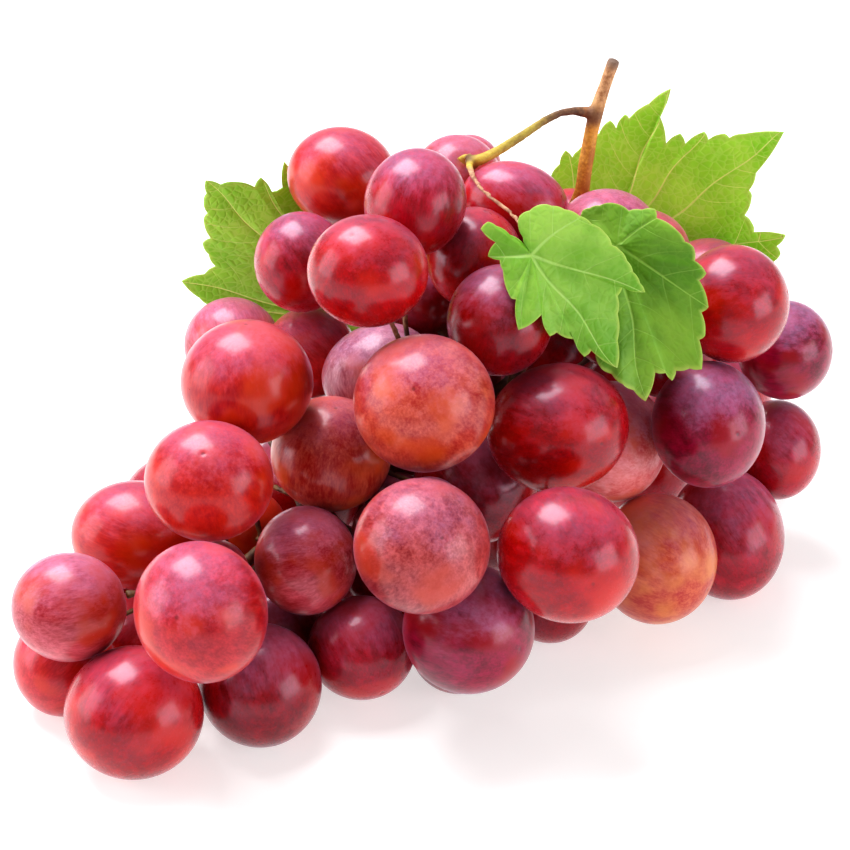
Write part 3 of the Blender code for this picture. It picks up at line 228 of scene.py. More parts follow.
# Below these heights the stalks inside the bunch take their dull brown, painted darker as the shade
# between the berries
STALK_SHADE_TURN = (66.0 * MM, 72.0 * MM)  # heights: dull stalks, stem


def plain(values):
    """Values of any kind of row as a tuple of plain numbers."""
    return tuple(float(value) for value in values)


def shade(red, green, blue):
    """A colour given as it looks in a picture, 0 to 255, worked out for light."""
    parts = np.array((red, green, blue)) / 255.0
    straight = parts / 12.92
    curved = ((parts + 0.055) / 1.055) ** 2.4
    return plain(np.where(parts <= 0.04045, straight, curved))


# Each skin: its own deep and bright tones, the orange painted as light shining through, the amount of
# bloom and painted highlight, and its gloss
Skin = namedtuple("Skin", "deep bright glow bloom gloss")
SKINS = {
    "salmon": Skin((156, 12, 4), (208, 98, 74), (206, 84, 22), bloom=0.5, gloss=0.36),
    "pink": Skin((150, 10, 22), (210, 94, 106), (192, 60, 20), bloom=0.7, gloss=0.38),
    # pale: painted lighter than the berry's own pink, as painted light on a berry that lies in shade
    "pale": Skin((208, 76, 74), (240, 154, 154), (226, 112, 88), bloom=0.9, gloss=0.4),
    "coral": Skin((160, 0, 0), (206, 42, 18), (208, 60, 0), bloom=0.5, gloss=0.33),
    "rosy": Skin((144, 0, 2), (204, 40, 42), (202, 50, 2), bloom=0.6, gloss=0.34),
    "dusky": Skin((124, 6, 8), (196, 90, 88), (182, 58, 22), bloom=0.5, gloss=0.38),
    "orange": Skin((158, 2, 0), (192, 34, 0), (200, 66, 0), bloom=0.05, gloss=0.33),
    "tan": Skin((176, 42, 26), (218, 116, 72), (216, 128, 56), bloom=0.5, gloss=0.38),
    "red": Skin((132, 0, 0), (188, 4, 4), (196, 30, 0), bloom=0.35, gloss=0.27),
    "crimson": Skin((122, 0, 6), (186, 10, 38), (184, 20, 2), bloom=0.65, gloss=0.3),
    "wine": Skin((98, 0, 0), (156, 2, 18), (160, 10, 0), bloom=0.6, gloss=0.3),
    "purple": Skin((92, 0, 12), (160, 10, 58), (154, 10, 4), bloom=0.8, gloss=0.34),
    "dark": Skin((80, 0, 2), (138, 2, 28), (142, 6, 0), bloom=0.7, gloss=0.31),
    "mottled": Skin((134, 56, 72), (200, 140, 152), (190, 104, 100), bloom=0.55, gloss=0.4),
}
# The skin of each berry that shows, by what follows grape_ in its name
BERRY_SKINS = {
    "tip_upper": "pink", "tip_lower": "rosy", "tip_front": "red", "front_left": "rosy",
    "floor_left": "wine", "left_edge": "coral", "left_upper": "coral", "front_dark": "pink",
    "floor_middle": "crimson", "front_middle": "dusky", "centre_left": "salmon",
    "orange_inner": "orange", "top_left": "coral", "top_middle": "crimson", "top_back": "pink",
    "top_dark": "crimson", "upper_left": "crimson", "upper_front": "red", "upper_middle": "red",
    "under_leaf": "wine", "behind_leaf": "wine", "far_left": "pink", "left_inner": "rosy",
    "left_middle": "coral", "mottled": "mottled", "centre": "salmon", "glossy": "red",
    "right_pink": "pale", "front_right": "red", "floor_tan": "tan", "floor_dark": "wine",
    "front_purple": "purple", "floor_purple": "dark", "right_purple": "purple",
    "floor_right": "crimson", "right_upper": "red", "right_behind": "rosy", "far_right": "purple",
    "low_right": "crimson", "right_top": "pink", "right_back": "rosy", "stem_back": "red",
    "leaf_rest_upper": "crimson", "leaf_rest_middle": "wine", "leaf_rest_lower": "crimson",
}
BACK_SKINS = ("crimson", "wine", "red", "wine", "dark", "wine", "rosy", "pink", "crimson", "wine")
# The lilac of the bloom, also painted on the upper sides as a highlight
BLOOM_AND_HIGHLIGHT_COLOUR = shade(206, 162, 214)
SCAR_COLOUR = shade(70, 26, 20)
DIMPLE_COLOUR = shade(180, 112, 56)
TIP_COLOUR = shade(188, 204, 104)

# Bark: the deep and the bright tone of each stretch
BARK_TONES = {
    "tan": ((160, 104, 62), (218, 170, 122)),
    "orange": ((178, 108, 30), (228, 164, 66)),
    "olive": ((140, 116, 44), (178, 158, 66)),
    "yellow": ((186, 150, 50), (214, 190, 84)),
    "brown": ((96, 62, 46), (140, 98, 66)),
    "twig": ((142, 92, 70), (208, 164, 128)),
}
# Dull brown stalks, painted dark for the shade in the gaps between the berries
STALK_AND_SHADE_TONES = (shade(66, 28, 14), shade(106, 72, 30))
CUT_COLOUR = shade(120, 96, 84)
FORK_COLOUR = shade(96, 60, 36)
JOINT_COLOUR = shade(82, 50, 50)

BladeLook = namedtuple("BladeLook", "deep bright vein under vein_strength")
# The two leaves behind have their seen faces painted brighter than their own green, as painted light
# shining through them from behind
BLADE_LOOKS = {
    "leaf_back_left": BladeLook(shade(138, 202, 52), shade(172, 226, 80), shade(232, 246, 150),
                                shade(116, 152, 78), vein_strength=0.8),
    "leaf_back_right": BladeLook(shade(148, 216, 48), shade(182, 236, 78), shade(238, 250, 150),
                                 shade(116, 152, 78), vein_strength=0.9),
    "leaf_front": BladeLook(shade(100, 158, 30), shade(156, 198, 84), shade(184, 220, 124),
                            shade(130, 166, 92), vein_strength=0.3),
    "leaf_front_lower": BladeLook(shade(84, 134, 22), shade(128, 172, 52), shade(160, 198, 92),
                                  shade(120, 156, 84), vein_strength=0.28),
}


class Wire:
    """A value on its way through a material. Maths on it adds the nodes that work it out."""

    def __init__(self, finish, socket):
        self.finish = finish
        self.socket = socket

    def maths(self, operation, *others):
        inputs = dict(enumerate((self, *others)))
        return self.finish.node("ShaderNodeMath", {"operation": operation}, inputs)

    def __add__(self, other):
        return self.maths("ADD", other)

    def __sub__(self, other):
        return self.maths("SUBTRACT", other)

    def __rsub__(self, other):
        return self.finish.node("ShaderNodeMath", {"operation": "SUBTRACT"}, {0: other, 1: self})

    def __mul__(self, other):
        return self.maths("MULTIPLY", other)

    def __truediv__(self, other):
        return self.maths("DIVIDE", other)

    def __mod__(self, other):
        return self.maths("FLOORED_MODULO", other)

    def __pow__(self, other):
        return self.maths("POWER", other)

    def __abs__(self):
        return self.maths("ABSOLUTE")

    __radd__ = __add__
    __rmul__ = __mul__


class Finish:
    """A material being made: its nodes, and the wires between them."""

    def __init__(self, name):
        self.material = bpy.data.materials.new(name)
        self.material.use_nodes = True
        self.tree = self.material.node_tree
        self.tree.nodes.clear()

    def node(self, kind, settings=None, inputs=None, give=0):
        """A node of a type: its settings first, then the values or wires of its sockets."""
        made = self.tree.nodes.new(kind)
        for name, value in (settings or {}).items():
            setattr(made, name, value)
        for name, value in (inputs or {}).items():
            self.feed(made.inputs[name], value)
        return Wire(self, made.outputs[give]) if made.outputs else None

    def feed(self, socket, value):
        if isinstance(value, Wire):
            self.tree.links.new(value.socket, socket)
        elif socket.type == "RGBA":
            socket.default_value = (*value, 1.0)
        else:
            socket.default_value = value

    def object_place(self):
        return self.node("ShaderNodeTexCoord", give="Object")

    def attribute(self, name, give="Fac"):
        return self.node("ShaderNodeAttribute", {"attribute_name": name}, give=give)

    def parts(self, vector):
        first = self.node("ShaderNodeSeparateXYZ", inputs={0: vector})
        return [Wire(self, output) for output in first.socket.node.outputs]

    def joined(self, x, y, z):
        return self.node("ShaderNodeCombineXYZ", inputs={0: x, 1: y, 2: z})

    def vectors(self, operation, *values, give="Vector"):
        """Maths on vectors, which gives a vector or, where asked for, a value."""
        inputs = dict(enumerate(values))
        return self.node("ShaderNodeVectorMath", {"operation": operation}, inputs, give)

    def noise(self, vector, scale, detail=2.0, roughness=0.5):
        return self.node("ShaderNodeTexNoise", inputs={
            "Vector": vector, "Scale": scale, "Detail": detail, "Roughness": roughness})

    def spots(self, vector, pattern, detail=2.0, roughness=0.5):
        """Noise that sets in and is full between the levels of a pattern's band."""
        return self.rising(self.noise(vector, pattern.scale, detail, roughness), *pattern.band)

    def cells(self, vector, scale, feature="F1"):
        return self.node("ShaderNodeTexVoronoi", {"feature": feature},
                         {"Vector": vector, "Scale": scale})

    def rising(self, value, low, high):
        """0 below the low value, 1 above the high one, and smooth between."""
        return self.node("ShaderNodeMapRange", {"interpolation_type": "SMOOTHSTEP"},
                         {"Value": value, "From Min": low, "From Max": high})

    def mixed(self, first, second, share):
        """The first colour turning into the second as the share goes from 0 to 1."""
        return self.node("ShaderNodeMix", {"data_type": "RGBA"},
                         {0: share, 6: first, 7: second}, give=2)

    def apart(self, place, point):
        """How far places are from a point."""
        return self.vectors("DISTANCE", place, plain(point), give="Value")

    def off_line(self, place, point, way):
        """How far places are from a line: the length of the cross product with its way."""
        offset = self.vectors("SUBTRACT", place, plain(point))
        return self.vectors("LENGTH", self.vectors("CROSS_PRODUCT", offset, plain(way)), give="Value")

    def beyond(self, place, point, way):
        """How far places stand past a point along a direction."""
        offset = self.vectors("SUBTRACT", place, plain(point))
        return self.vectors("DOT_PRODUCT", offset, plain(way), give="Value")

    def relief(self, height, distance, strength=1.0):
        return self.node("ShaderNodeBump", inputs={
            "Height": height, "Distance": distance, "Strength": strength})

    def surface(self, inputs):
        """Ends the material in one principled shader and hands it over."""
        shader = self.node("ShaderNodeBsdfPrincipled", inputs=inputs)
        self.node("ShaderNodeOutputMaterial", inputs={"Surface": shader})
        return self.material


def clamped(value):
    """Held between 0 and 1, for numbers and wires alike."""
    if isinstance(value, Wire):
        return value.finish.node("ShaderNodeClamp", inputs={"Value": value})
    return np.clip(value, 0.0, 1.0)


def sine(value):
    """The sine, for numbers and wires alike."""
    return value.maths("SINE") if isinstance(value, Wire) else np.sin(value)


def larger(first, second):
    """The larger of two values: half their sum and half their difference."""
    return (first + second + abs(first - second)) * 0.5


def smaller(first, second):
    """The smaller of two values: half their sum less half their difference."""
    return (first + second - abs(first - second)) * 0.5


def drifted(x, y):
    """Leaf places moved by slow waves, so that veins written as straight lines curve."""
    return x + sine(y * DRIFT_PITCH) * DRIFT, y + sine(x * DRIFT_PITCH) * DRIFT


def vein_frame(x, y, directions):
    """How far a place lies along its nearest main vein, how far beside it, and its lead.

    The nearest of the veins, which all start at the origin, is the one with the largest
    dot product, and the rest of the distance is beside it by Pythagoras. The lead over
    the next vein's dot product falls to nothing halfway between two veins. The next one
    starts a metre back, behind them all.
    """
    along = x * directions[0][0] + y * directions[0][1]
    second = along * 0.0 - 1.0
    for step_x, step_y in directions[1:]:
        reach = x * step_x + y * step_y
        second = larger(second, smaller(along, reach))
        along = larger(along, reach)
    beside = abs(x * x + y * y - along * along) ** 0.5
    return along, beside, along - second


def side_level(along, beside):
    """Whole numbers on the side veins, which lean and bend forwards off the main vein."""
    return (along - beside * SIDE_LEAN - beside * beside * SIDE_CURVE) / SIDE_SPACING


def read_node(name):
    """A plain solid's corners, each once, and its triangles as numbers of corners."""
    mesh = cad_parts[name].data
    places = np.empty(len(mesh.vertices) * 3)
    mesh.vertices.foreach_get("co", places)
    corners = np.empty(len(mesh.loops), int)
    mesh.loops.foreach_get("vertex_index", corners)
    places = places.reshape(-1, 3)
    keys = np.round(places / WELD)
    _, first, merged = np.unique(keys, axis=0, return_index=True, return_inverse=True)
    return places[first], merged.reshape(-1)[corners].reshape(-1, 3)


def new_piece(name, places, faces, material, replaces):
    """A finished piece: its mesh in place, its finish, and what it rides on and stands for."""
    mesh = bpy.data.meshes.new(name)
    mesh.from_pydata(places.tolist(), [], faces)
    mesh.validate()
    mesh.shade_smooth()
    mesh.materials.append(material)
    piece = put(name, mesh)
    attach(piece, "root")
    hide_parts(replaces)
    return piece


def add_values(piece, name, values):
    """Gives each corner of a piece a number or a vector that its material reads."""
    kind = "FLOAT" if values.ndim == 1 else "FLOAT_VECTOR"
    attribute = piece.data.attributes.new(name, kind, "POINT")
    attribute.data.foreach_set("value" if values.ndim == 1 else "vector", values.ravel())


def unit(vectors):
    return vectors / norm(vectors, axis=-1, keepdims=True)


def ball_directions(rings, sides):
    """Directions from a ball's middle, from pole to pole, with rings closer near the poles.

    The angle from the pole is half a turn times t minus a little of the sine of a whole
    turn of t, for t from 0 to 1, and each ring goes once round.
    """
    share = np.arange(1, rings) / rings
    tilt = math.pi * (share - POLE_CROWDING * np.sin(2 * math.pi * share))
    turn = np.arange(sides) * 2 * math.pi / sides
    tilt, turn = np.meshgrid(tilt, turn, indexing="ij")
    ring = np.stack((np.sin(tilt) * np.cos(turn), np.sin(tilt) * np.sin(turn), np.cos(tilt)), axis=-1)
    return np.vstack(((0, 0, 1), ring.reshape(-1, 3), (0, 0, -1)))


def ball_faces(rings, sides, start=0):
    """Four-sided faces between rings, and a fan of triangles at each pole."""
    row = np.arange(sides)
    after = (row + 1) % sides
    top = start
    bottom = start + 1 + (rings - 1) * sides
    first = start + 1
    last = bottom - sides
    faces = np.stack((np.full(sides, top), first + row, first + after), axis=1).tolist()
    for ring in range(rings - 2):
        upper = first + ring * sides
        lower = upper + sides
        faces += np.stack((upper + row, lower + row, lower + after, upper + after), axis=1).tolist()
    faces += np.stack((last + row, np.full(sides, bottom), last + after), axis=1).tolist()
    return faces


def turned_to(direction):
    """The turn that carries +Z to a direction, as a matrix of three columns."""
    forward = unit(direction)
    helper = np.eye(3)[np.argmin(np.abs(forward))]
    right = unit(np.cross(helper, forward))
    return np.stack((right, np.cross(forward, right), forward), axis=1)


def fit_ellipsoid(points):
    """The middle and the stretch of the ellipsoid through points.

    x'Ax + b'x = 1 is solved for A and b by least squares. The stretch turns a unit
    ball into the ellipsoid without turning it.
    """
    middle = points.mean(axis=0)
    spread = np.abs(points - middle).max()
    x, y, z = ((points - middle) / spread).T
    terms = np.stack((x * x, y * y, z * z, 2 * x * y, 2 * x * z, 2 * y * z, x, y, z), axis=1)
    xx, yy, zz, xy, xz, yz, *slope = np.linalg.lstsq(terms, np.ones(len(x)), rcond=None)[0]
    form = np.array(((xx, xy, xz), (xy, yy, yz), (xz, yz, zz)))
    offset = -0.5 * np.linalg.solve(form, slope)
    values, axes = np.linalg.eigh(form / (1 + offset @ form @ offset))
    stretch = (axes / np.sqrt(values)) @ axes.T
    return middle + offset * spread, stretch * spread


def find_balls(points, chance):
    """Middles and radii of the balls that a fused body was joined from.

    A ball is tried through one corner and three of its neighbours, by the linear
    equations that four equal distances give. The try that most corners lie on is kept,
    its corners are taken out, and the rest are searched again.
    """
    balls = []
    left = points
    while len(left) >= SPHERE_CORNERS and len(balls) < SPHERES_MOST:
        apart = norm(left[:, None] - left[None], axis=2)
        near = np.argsort(apart, axis=1)[:, 1:SPHERE_NEIGHBOURS + 1]
        first = chance.integers(len(left), size=SPHERE_TRIES)
        picks = near[first[:, None], chance.integers(near.shape[1], size=(SPHERE_TRIES, 3))]
        ways = left[picks] - left[first][:, None]
        sure = np.abs(np.linalg.det(ways)) > SPHERE_FLAT
        ways = ways[sure]
        halves = 0.5 * (ways ** 2).sum(axis=2)
        offsets = np.linalg.solve(ways, halves[..., None])[..., 0]
        radii = norm(offsets, axis=1)
        middles = left[first][sure] + offsets
        sized = (radii > SPHERE_LOW) & (radii < SPHERE_HIGH)
        middles = middles[sized]
        radii = radii[sized]
        misses = np.abs(norm(left[None] - middles[:, None], axis=2) - radii[:, None])
        counts = (misses < SPHERE_FIT).sum(axis=1)
        best = int(np.argmax(counts))
        if counts[best] < SPHERE_CORNERS:
            break
        balls.append((middles[best], radii[best]))
        left = left[misses[best] >= SPHERE_FIT]
    return balls


def find_stalk_ends():
    """Middles and facings of the small triangles that end the stalks."""
    places, triangles = read_node("rachis")
    corners = places[triangles]
    longest = norm(corners - np.roll(corners, 1, axis=1), axis=2).max(axis=1)
    small = corners[longest < STALK_END_SIDE]
    facings = np.cross(small[:, 1] - small[:, 0], small[:, 2] - small[:, 0])
    return small.mean(axis=1), unit(facings)


def stalk_direction(middle, stretch, ends, facings):
    """The direction on the unit ball under a berry's own stalk.

    It is the stalk end that faces the berry and stands nearest to its skin.
    """
    inner = np.linalg.solve(stretch, (ends - middle).T).T
    reach = norm(inner, axis=1)
    facing = (facings * unit(middle - ends)).sum(axis=1)
    allowed = np.where(facing > STALK_END_FACING, reach, np.inf)
    nearest = int(np.argmin(allowed))
    return unit(inner[nearest])


def berry_places(middle, stretch, pole, directions, chance, presses=()):
    """A berry's skin over the unit ball's directions, with its own small lumps.

    Each place is the middle plus the stretched direction. The radius swells by a few
    slow sine waves and sinks in a bell at each pole, and past a pressed side's plane the
    skin eases onto the plane. Also given: how far each place is from the stalk and from
    the scar, and how much its direction faces up.
    """
    out = directions @ turned_to(pole).T
    lengths = chance.uniform(*LUMP_PITCH, size=(LUMP_WAVES, 1))
    pitches = lengths * unit(chance.normal(size=(LUMP_WAVES, 3)))
    starts = chance.uniform(0, 2 * math.pi, size=LUMP_WAVES)
    swell = 1 + LUMP_DEPTH * np.sin(out @ pitches.T + starts).mean(axis=1)
    reach = out @ stretch
    radius = norm(reach, axis=1)
    from_stalk = np.arccos(np.clip(directions[:, 2], -1, 1)) * radius
    from_scar = np.arccos(np.clip(-directions[:, 2], -1, 1)) * radius
    sink = DIMPLE_DEPTH * np.exp(-(from_stalk / DIMPLE_RADIUS) ** 2)
    sink = sink + SCAR_DEPTH * np.exp(-(from_scar / SCAR_RADIUS) ** 2)
    grown = (radius * swell + BERRY_GROWTH - sink) / radius
    places = middle + reach * grown[:, None]
    for facing, height in presses:
        places = eased_onto(places, middle, facing, height)
    places = eased_onto(places, np.zeros(3), np.array((0.0, 0.0, -1.0)), 0.0)
    return places, from_stalk, from_scar, out[:, 2]


def eased_onto(places, middle, facing, height):
    """Places moved so that none stands past a plane, easing onto it as they near it.

    The height over the plane becomes a soft minimum of itself and zero: half of the
    height less the root of its square and the softness squared.
    """
    over = (places - middle) @ facing - height
    under = 0.5 * (over - np.sqrt(over ** 2 + PRESS_SOFTNESS ** 2))
    near = over > -PRESS_REACH
    return places + np.where(near, under - over, 0.0)[:, None] * facing


def skin_values(piece, directions, count, values, chance):
    """What the skin's finish reads: its pattern, the way it faces and how far its ends are."""
    shifts = chance.uniform(-PATTERN_SPREAD, PATTERN_SPREAD, size=(count, 3))
    shifts = np.repeat(shifts, len(directions), axis=0)
    add_values(piece, "skin_pattern", np.tile(directions, (count, 1)) + shifts)
    for name, value in zip(("from_stalk", "from_scar", "faces_up_for_highlight"), values):
        add_values(piece, name, value)


def make_seen_berries(finishes, ends, facings):
    """The berries that show, each on the ellipsoid of its own solid."""
    directions = ball_directions(BERRY_RINGS, BERRY_SIDES)
    faces = ball_faces(BERRY_RINGS, BERRY_SIDES)
    for number, (which, skin) in enumerate(BERRY_SKINS.items()):
        name = "grape_" + which
        chance = np.random.default_rng(BERRY_SEED + number)
        points, _ = read_node(name)
        middle, stretch = fit_ellipsoid(points[points[:, 2] > FLOOR_TRIM])
        pole = stalk_direction(middle, stretch, ends, facings)
        places, *values = berry_places(middle, stretch, pole, directions, chance)
        piece = new_piece(name + "_skin", places, faces, finishes[skin], name)
        skin_values(piece, directions, 1, values, chance)


def pressed_sides(balls, number):
    """Facings and heights of the planes where a ball meets the others of its body."""
    middle, radius = balls[number]
    sides = []
    for other, (place, size) in enumerate(balls):
        apart = norm(place - middle)
        if other != number and apart < radius + size:
            height = (apart ** 2 + radius ** 2 - size ** 2) / (2 * apart)
            sides.append(((place - middle) / apart, height))
    return sides


def make_back_berries(finishes, ends, facings):
    """The berries behind, found again as spheres in the solids that fuse them."""
    directions = ball_directions(BACK_RINGS, BACK_SIDES)
    for number, skin in enumerate(BACK_SKINS):
        name = f"grapes_back_{number + 1:02d}"
        chance = np.random.default_rng(BACK_SEED + number)
        points, _ = read_node(name)
        balls = find_balls(points[points[:, 2] > FLOOR_TRIM], chance)
        made = []
        faces = []
        for ball, (middle, radius) in enumerate(balls):
            stretch = np.eye(3) * radius
            pole = stalk_direction(middle, stretch, ends, facings)
            presses = pressed_sides(balls, ball)
            made.append(berry_places(middle, stretch, pole, directions, chance, presses))
            faces += ball_faces(BACK_RINGS, BACK_SIDES, ball * len(directions))
        places, *values = (np.concatenate(part) for part in zip(*made))
        piece = new_piece(name + "_skins", places, faces, finishes[skin], name)
        skin_values(piece, directions, len(balls), values, chance)


def make_stem(finish):
    """The stem's plain solid, remade in small cells, smoothed round and given bark ridges.

    The ridges push each place out along its normal by slow sines across the stem.
    """
    places, triangles = read_node("rachis")
    piece = new_piece("stem_and_stalks", places, triangles.tolist(), finish, "rachis")
    remesh = piece.modifiers.new("cells", "REMESH")
    remesh.mode = "VOXEL"
    remesh.voxel_size = BARK_CELL
    smooth = piece.modifiers.new("round", "SMOOTH")
    smooth.factor = 0.5
    smooth.iterations = BARK_SMOOTHING
    finished = piece.evaluated_get(bpy.context.evaluated_depsgraph_get())
    mesh = bpy.data.meshes.new_from_object(finished)
    piece.modifiers.clear()
    piece.data = mesh
    mesh.shade_smooth()
    count = len(mesh.vertices)
    rough = np.empty(count * 3)
    mesh.vertices.foreach_get("co", rough)
    rough = rough.reshape(-1, 3)
    normals = np.array([normal.vector for normal in mesh.vertex_normals])
    ridges = BARK_RIDGES * np.sin(rough @ np.array(BARK_PITCH).T).mean(axis=1)
    mesh.vertices.foreach_set("co", (rough + normals * (BARK_GROWTH + ridges)[:, None]).ravel())
    if not mesh.materials:
        mesh.materials.append(finish)
    mesh.update()


def walk_round(ring, linked, places):
    """The corners of a ring in their order, each step to the nearest linked one left."""
    way = [ring[0]]
    left = list(ring[1:])
    while left:
        onward = [corner for corner in left if linked[way[-1], corner]]
        nearest = min(onward, key=lambda corner: norm(places[corner] - places[way[-1]]))
        way.append(nearest)
        left.remove(nearest)
    return places[way]


def lined_up(ring, guide):
    """A ring's corners, started and turned so that each lies nearest to its guide's."""
    turns = [np.roll(way, start, axis=0) for way in (ring, ring[::-1]) for start in range(len(ring))]
    return min(turns, key=lambda way: ((way - guide) ** 2).sum())


def read_blade(name):
    """The junction of a leaf's veins and three rings of corners of the face that is seen.

    The junction is the corner with the most neighbours, and each ring is one step
    further from it. The last ring is the leaf's toothed edge.
    """
    places, triangles = read_node(name)
    linked = np.zeros((len(places), len(places)), bool)
    for first, second in ((0, 1), (1, 2), (2, 0)):
        linked[triangles[:, first], triangles[:, second]] = True
        linked[triangles[:, second], triangles[:, first]] = True
    hubs = np.argsort(linked.sum(axis=1))[-2:]
    hub = min(hubs, key=lambda corner: norm(places[corner] - EYE))
    known = np.zeros(len(places), bool)
    known[hub] = True
    ring = np.array([hub])
    rings = []
    for _ in BLADE_RING_SHARES[1:]:
        ring = np.flatnonzero(linked[ring].any(axis=0) & ~known)
        known[ring] = True
        rings.append(walk_round(ring, linked, places))
    junction = places[hub]
    edge = rings[-1]
    area = np.cross(edge - junction, np.roll(edge, -1, axis=0) - junction).sum(axis=0)
    if area @ (EYE - junction) < 0:
        edge = edge[::-1]
    shares = BLADE_RING_SHARES[1:-1]
    inner = [lined_up(ring, junction + (edge - junction) * share)
             for ring, share in zip(rings[:-1], shares)]
    return junction, np.stack((*inner, edge))


def seen_at(across, down, height):
    """The point at a height above the floor that shows at a pixel."""
    middle = PICTURE_SIDE / 2
    ray = (VIEW_AHEAD + VIEW_RIGHT * ((across - middle) / PICTURE_FOCAL)
           + VIEW_UP * ((middle - down) / PICTURE_FOCAL))
    return EYE + ray * (height - EYE[2]) / ray[2]


def hung(places, corners):
    """Places moved until each arches off its leaf's plane along its own sight line.

    Each is first put back to the plane along the plane's normal, and then goes along
    the line from the eye until it stands as far off the plane as it did.
    """
    base, tip, side = (seen_at(across, down, height * MM) for across, down, height in corners)
    normal = unit(np.cross(tip - base, side - base))
    off = (places - base) @ normal
    flat = places - off[..., None] * normal
    rays = flat - EYE
    return flat + rays * (off / (rays @ normal))[..., None]


def to_picture(points):
    """Where points show in the picture, in pixels across and down."""
    away = points - EYE
    depth = away @ VIEW_AHEAD
    middle = PICTURE_SIDE / 2
    across = middle + PICTURE_FOCAL * (away @ VIEW_RIGHT) / depth
    down = middle - PICTURE_FOCAL * (away @ VIEW_UP) / depth
    return np.stack((across, down), axis=-1)


def between(values, steps):
    """Values eased through a closed ring of corners, by a Catmull-Rom curve."""
    share = np.arange(steps) / steps
    before = np.roll(values, 1, axis=-1)[..., None]
    here = values[..., None]
    after = np.roll(values, -1, axis=-1)[..., None]
    later = np.roll(values, -2, axis=-1)[..., None]
    curve = (2 * here + (after - before) * share
             + (2 * before - 5 * here + 4 * after - later) * share ** 2
             + (3 * here - before - 3 * after + later) * share ** 3) / 2
    return curve.reshape(*values.shape[:-1], -1)


def straight_between(values, steps):
    """Values along the straight lines of a closed ring of corners."""
    share = np.arange(steps) / steps
    here = values[..., None]
    after = np.roll(values, -1, axis=-1)[..., None]
    return (here + (after - here) * share).reshape(*values.shape[:-1], -1)


def ring_weights(rows):
    """How much of each ring makes each row: Lagrange's cubic through the rings' shares."""
    weights = []
    for ring, share in enumerate(BLADE_RING_SHARES):
        others = np.delete(BLADE_RING_SHARES, ring)
        weights.append(np.prod([(rows - other) / (share - other) for other in others], axis=0))
    return np.stack(weights, axis=1)


def blade_axes(junction, rings, vein_end):
    """A leaf's own axes: towards its tip, across it, and off its seen face."""
    edge = rings[-1]
    facing = unit(np.cross(edge - junction, np.roll(edge, -1, axis=0) - junction).sum(axis=0))
    tip = edge[np.argmin(norm(to_picture(edge) - vein_end, axis=1))] - junction
    along = unit(tip - facing * (tip @ facing))
    return np.stack((along, np.cross(facing, along), facing))


def vein_directions(junction, rings, axes, ends):
    """Unit directions of the main veins in the leaf's own plane."""
    seen = to_picture(rings[-1])
    corners = [int(np.argmin(norm(seen - end, axis=1))) for end in ends]
    ways = (rings[-1][corners] - junction) @ axes[:2].T
    return [plain(way) for way in unit(ways)]


def blade_grid(junction, rings, axes, directions):
    """A leaf's surface as rows outwards and columns round, in its own axes.

    In the plane, rows follow Lagrange's cubic through the rings and columns the edge's
    teeth, whose flanks bulge by half a sine. The height follows the rings by the same
    rows and Catmull-Rom round them, is eased, and sinks along the veins.
    """
    local = np.concatenate((np.zeros((1, rings.shape[1], 3)), (rings - junction) @ axes.T))
    flat = straight_between(np.moveaxis(local[..., :2], 2, 1), BLADE_STEPS)
    flank = np.roll(local[-1], -1, axis=0) - local[-1]
    length = norm(flank[:, :2], axis=1, keepdims=True)
    outward = np.stack((flank[:, 1], -flank[:, 0]), axis=1) / length
    bulge = np.minimum(length * TOOTH_BULGE, TOOTH_BULGE_MOST)
    arc = np.sin(math.pi * np.arange(BLADE_STEPS) / BLADE_STEPS)
    flat[-1] += np.einsum("ij,k->jik", outward * bulge, arc).reshape(2, -1)
    heights = between(local[..., 2], BLADE_STEPS)
    rows = np.arange(1, BLADE_ROWS + 1) / BLADE_ROWS
    weights = ring_weights(rows)
    x, y = np.einsum("rk,kdc->drc", weights, flat)
    height = weights @ heights
    for _ in range(BLADE_EASING):
        height = eased_height(height)
    share = np.repeat(rows[:, None], height.shape[1], axis=1)
    along, beside, lead = vein_frame(*drifted(x, y), directions)
    quilt = 0.5 - 0.5 * np.cos(2 * math.pi * side_level(along, beside))
    fade = clamped(beside / QUILT_FULL) * clamped(lead / SIDE_FADE) * (1 - share ** 6)
    sink = VEIN_SINK * np.exp(-(beside / VEIN_SINK_WIDTH) ** 2) * (1 - share ** 2)
    return x, y, height + QUILT_RISE * quilt * fade - sink, share


def eased_height(height):
    """Each height moved halfway to the mean of its four neighbours; the edge stays."""
    inner = np.vstack((np.zeros((1, height.shape[1])), height[:-2]))
    outer = height[1:]
    sides = np.roll(height, 1, axis=1)[:-1] + np.roll(height, -1, axis=1)[:-1]
    moved = 0.5 * height[:-1] + 0.125 * (inner + outer + sides)
    return np.vstack((moved, height[-1:]))


def blade_faces(rows, columns):
    """Both faces, each a fan at the junction and rows of four-sided faces, and the rim."""
    step = np.arange(columns)
    after = (step + 1) % columns
    count = rows * columns + 1
    faces = np.stack((np.zeros(columns, int), 1 + step, 1 + after), axis=1).tolist()
    for row in range(rows - 1):
        near = 1 + row * columns
        far = near + columns
        faces += np.stack((near + step, far + step, far + after, near + after), axis=1).tolist()
    under = [[corner + count for corner in reversed(face)] for face in faces]
    edge = 1 + (rows - 1) * columns
    rim = np.stack((edge + step, edge + step + count, edge + after + count, edge + after), axis=1)
    return faces + under + rim.tolist()


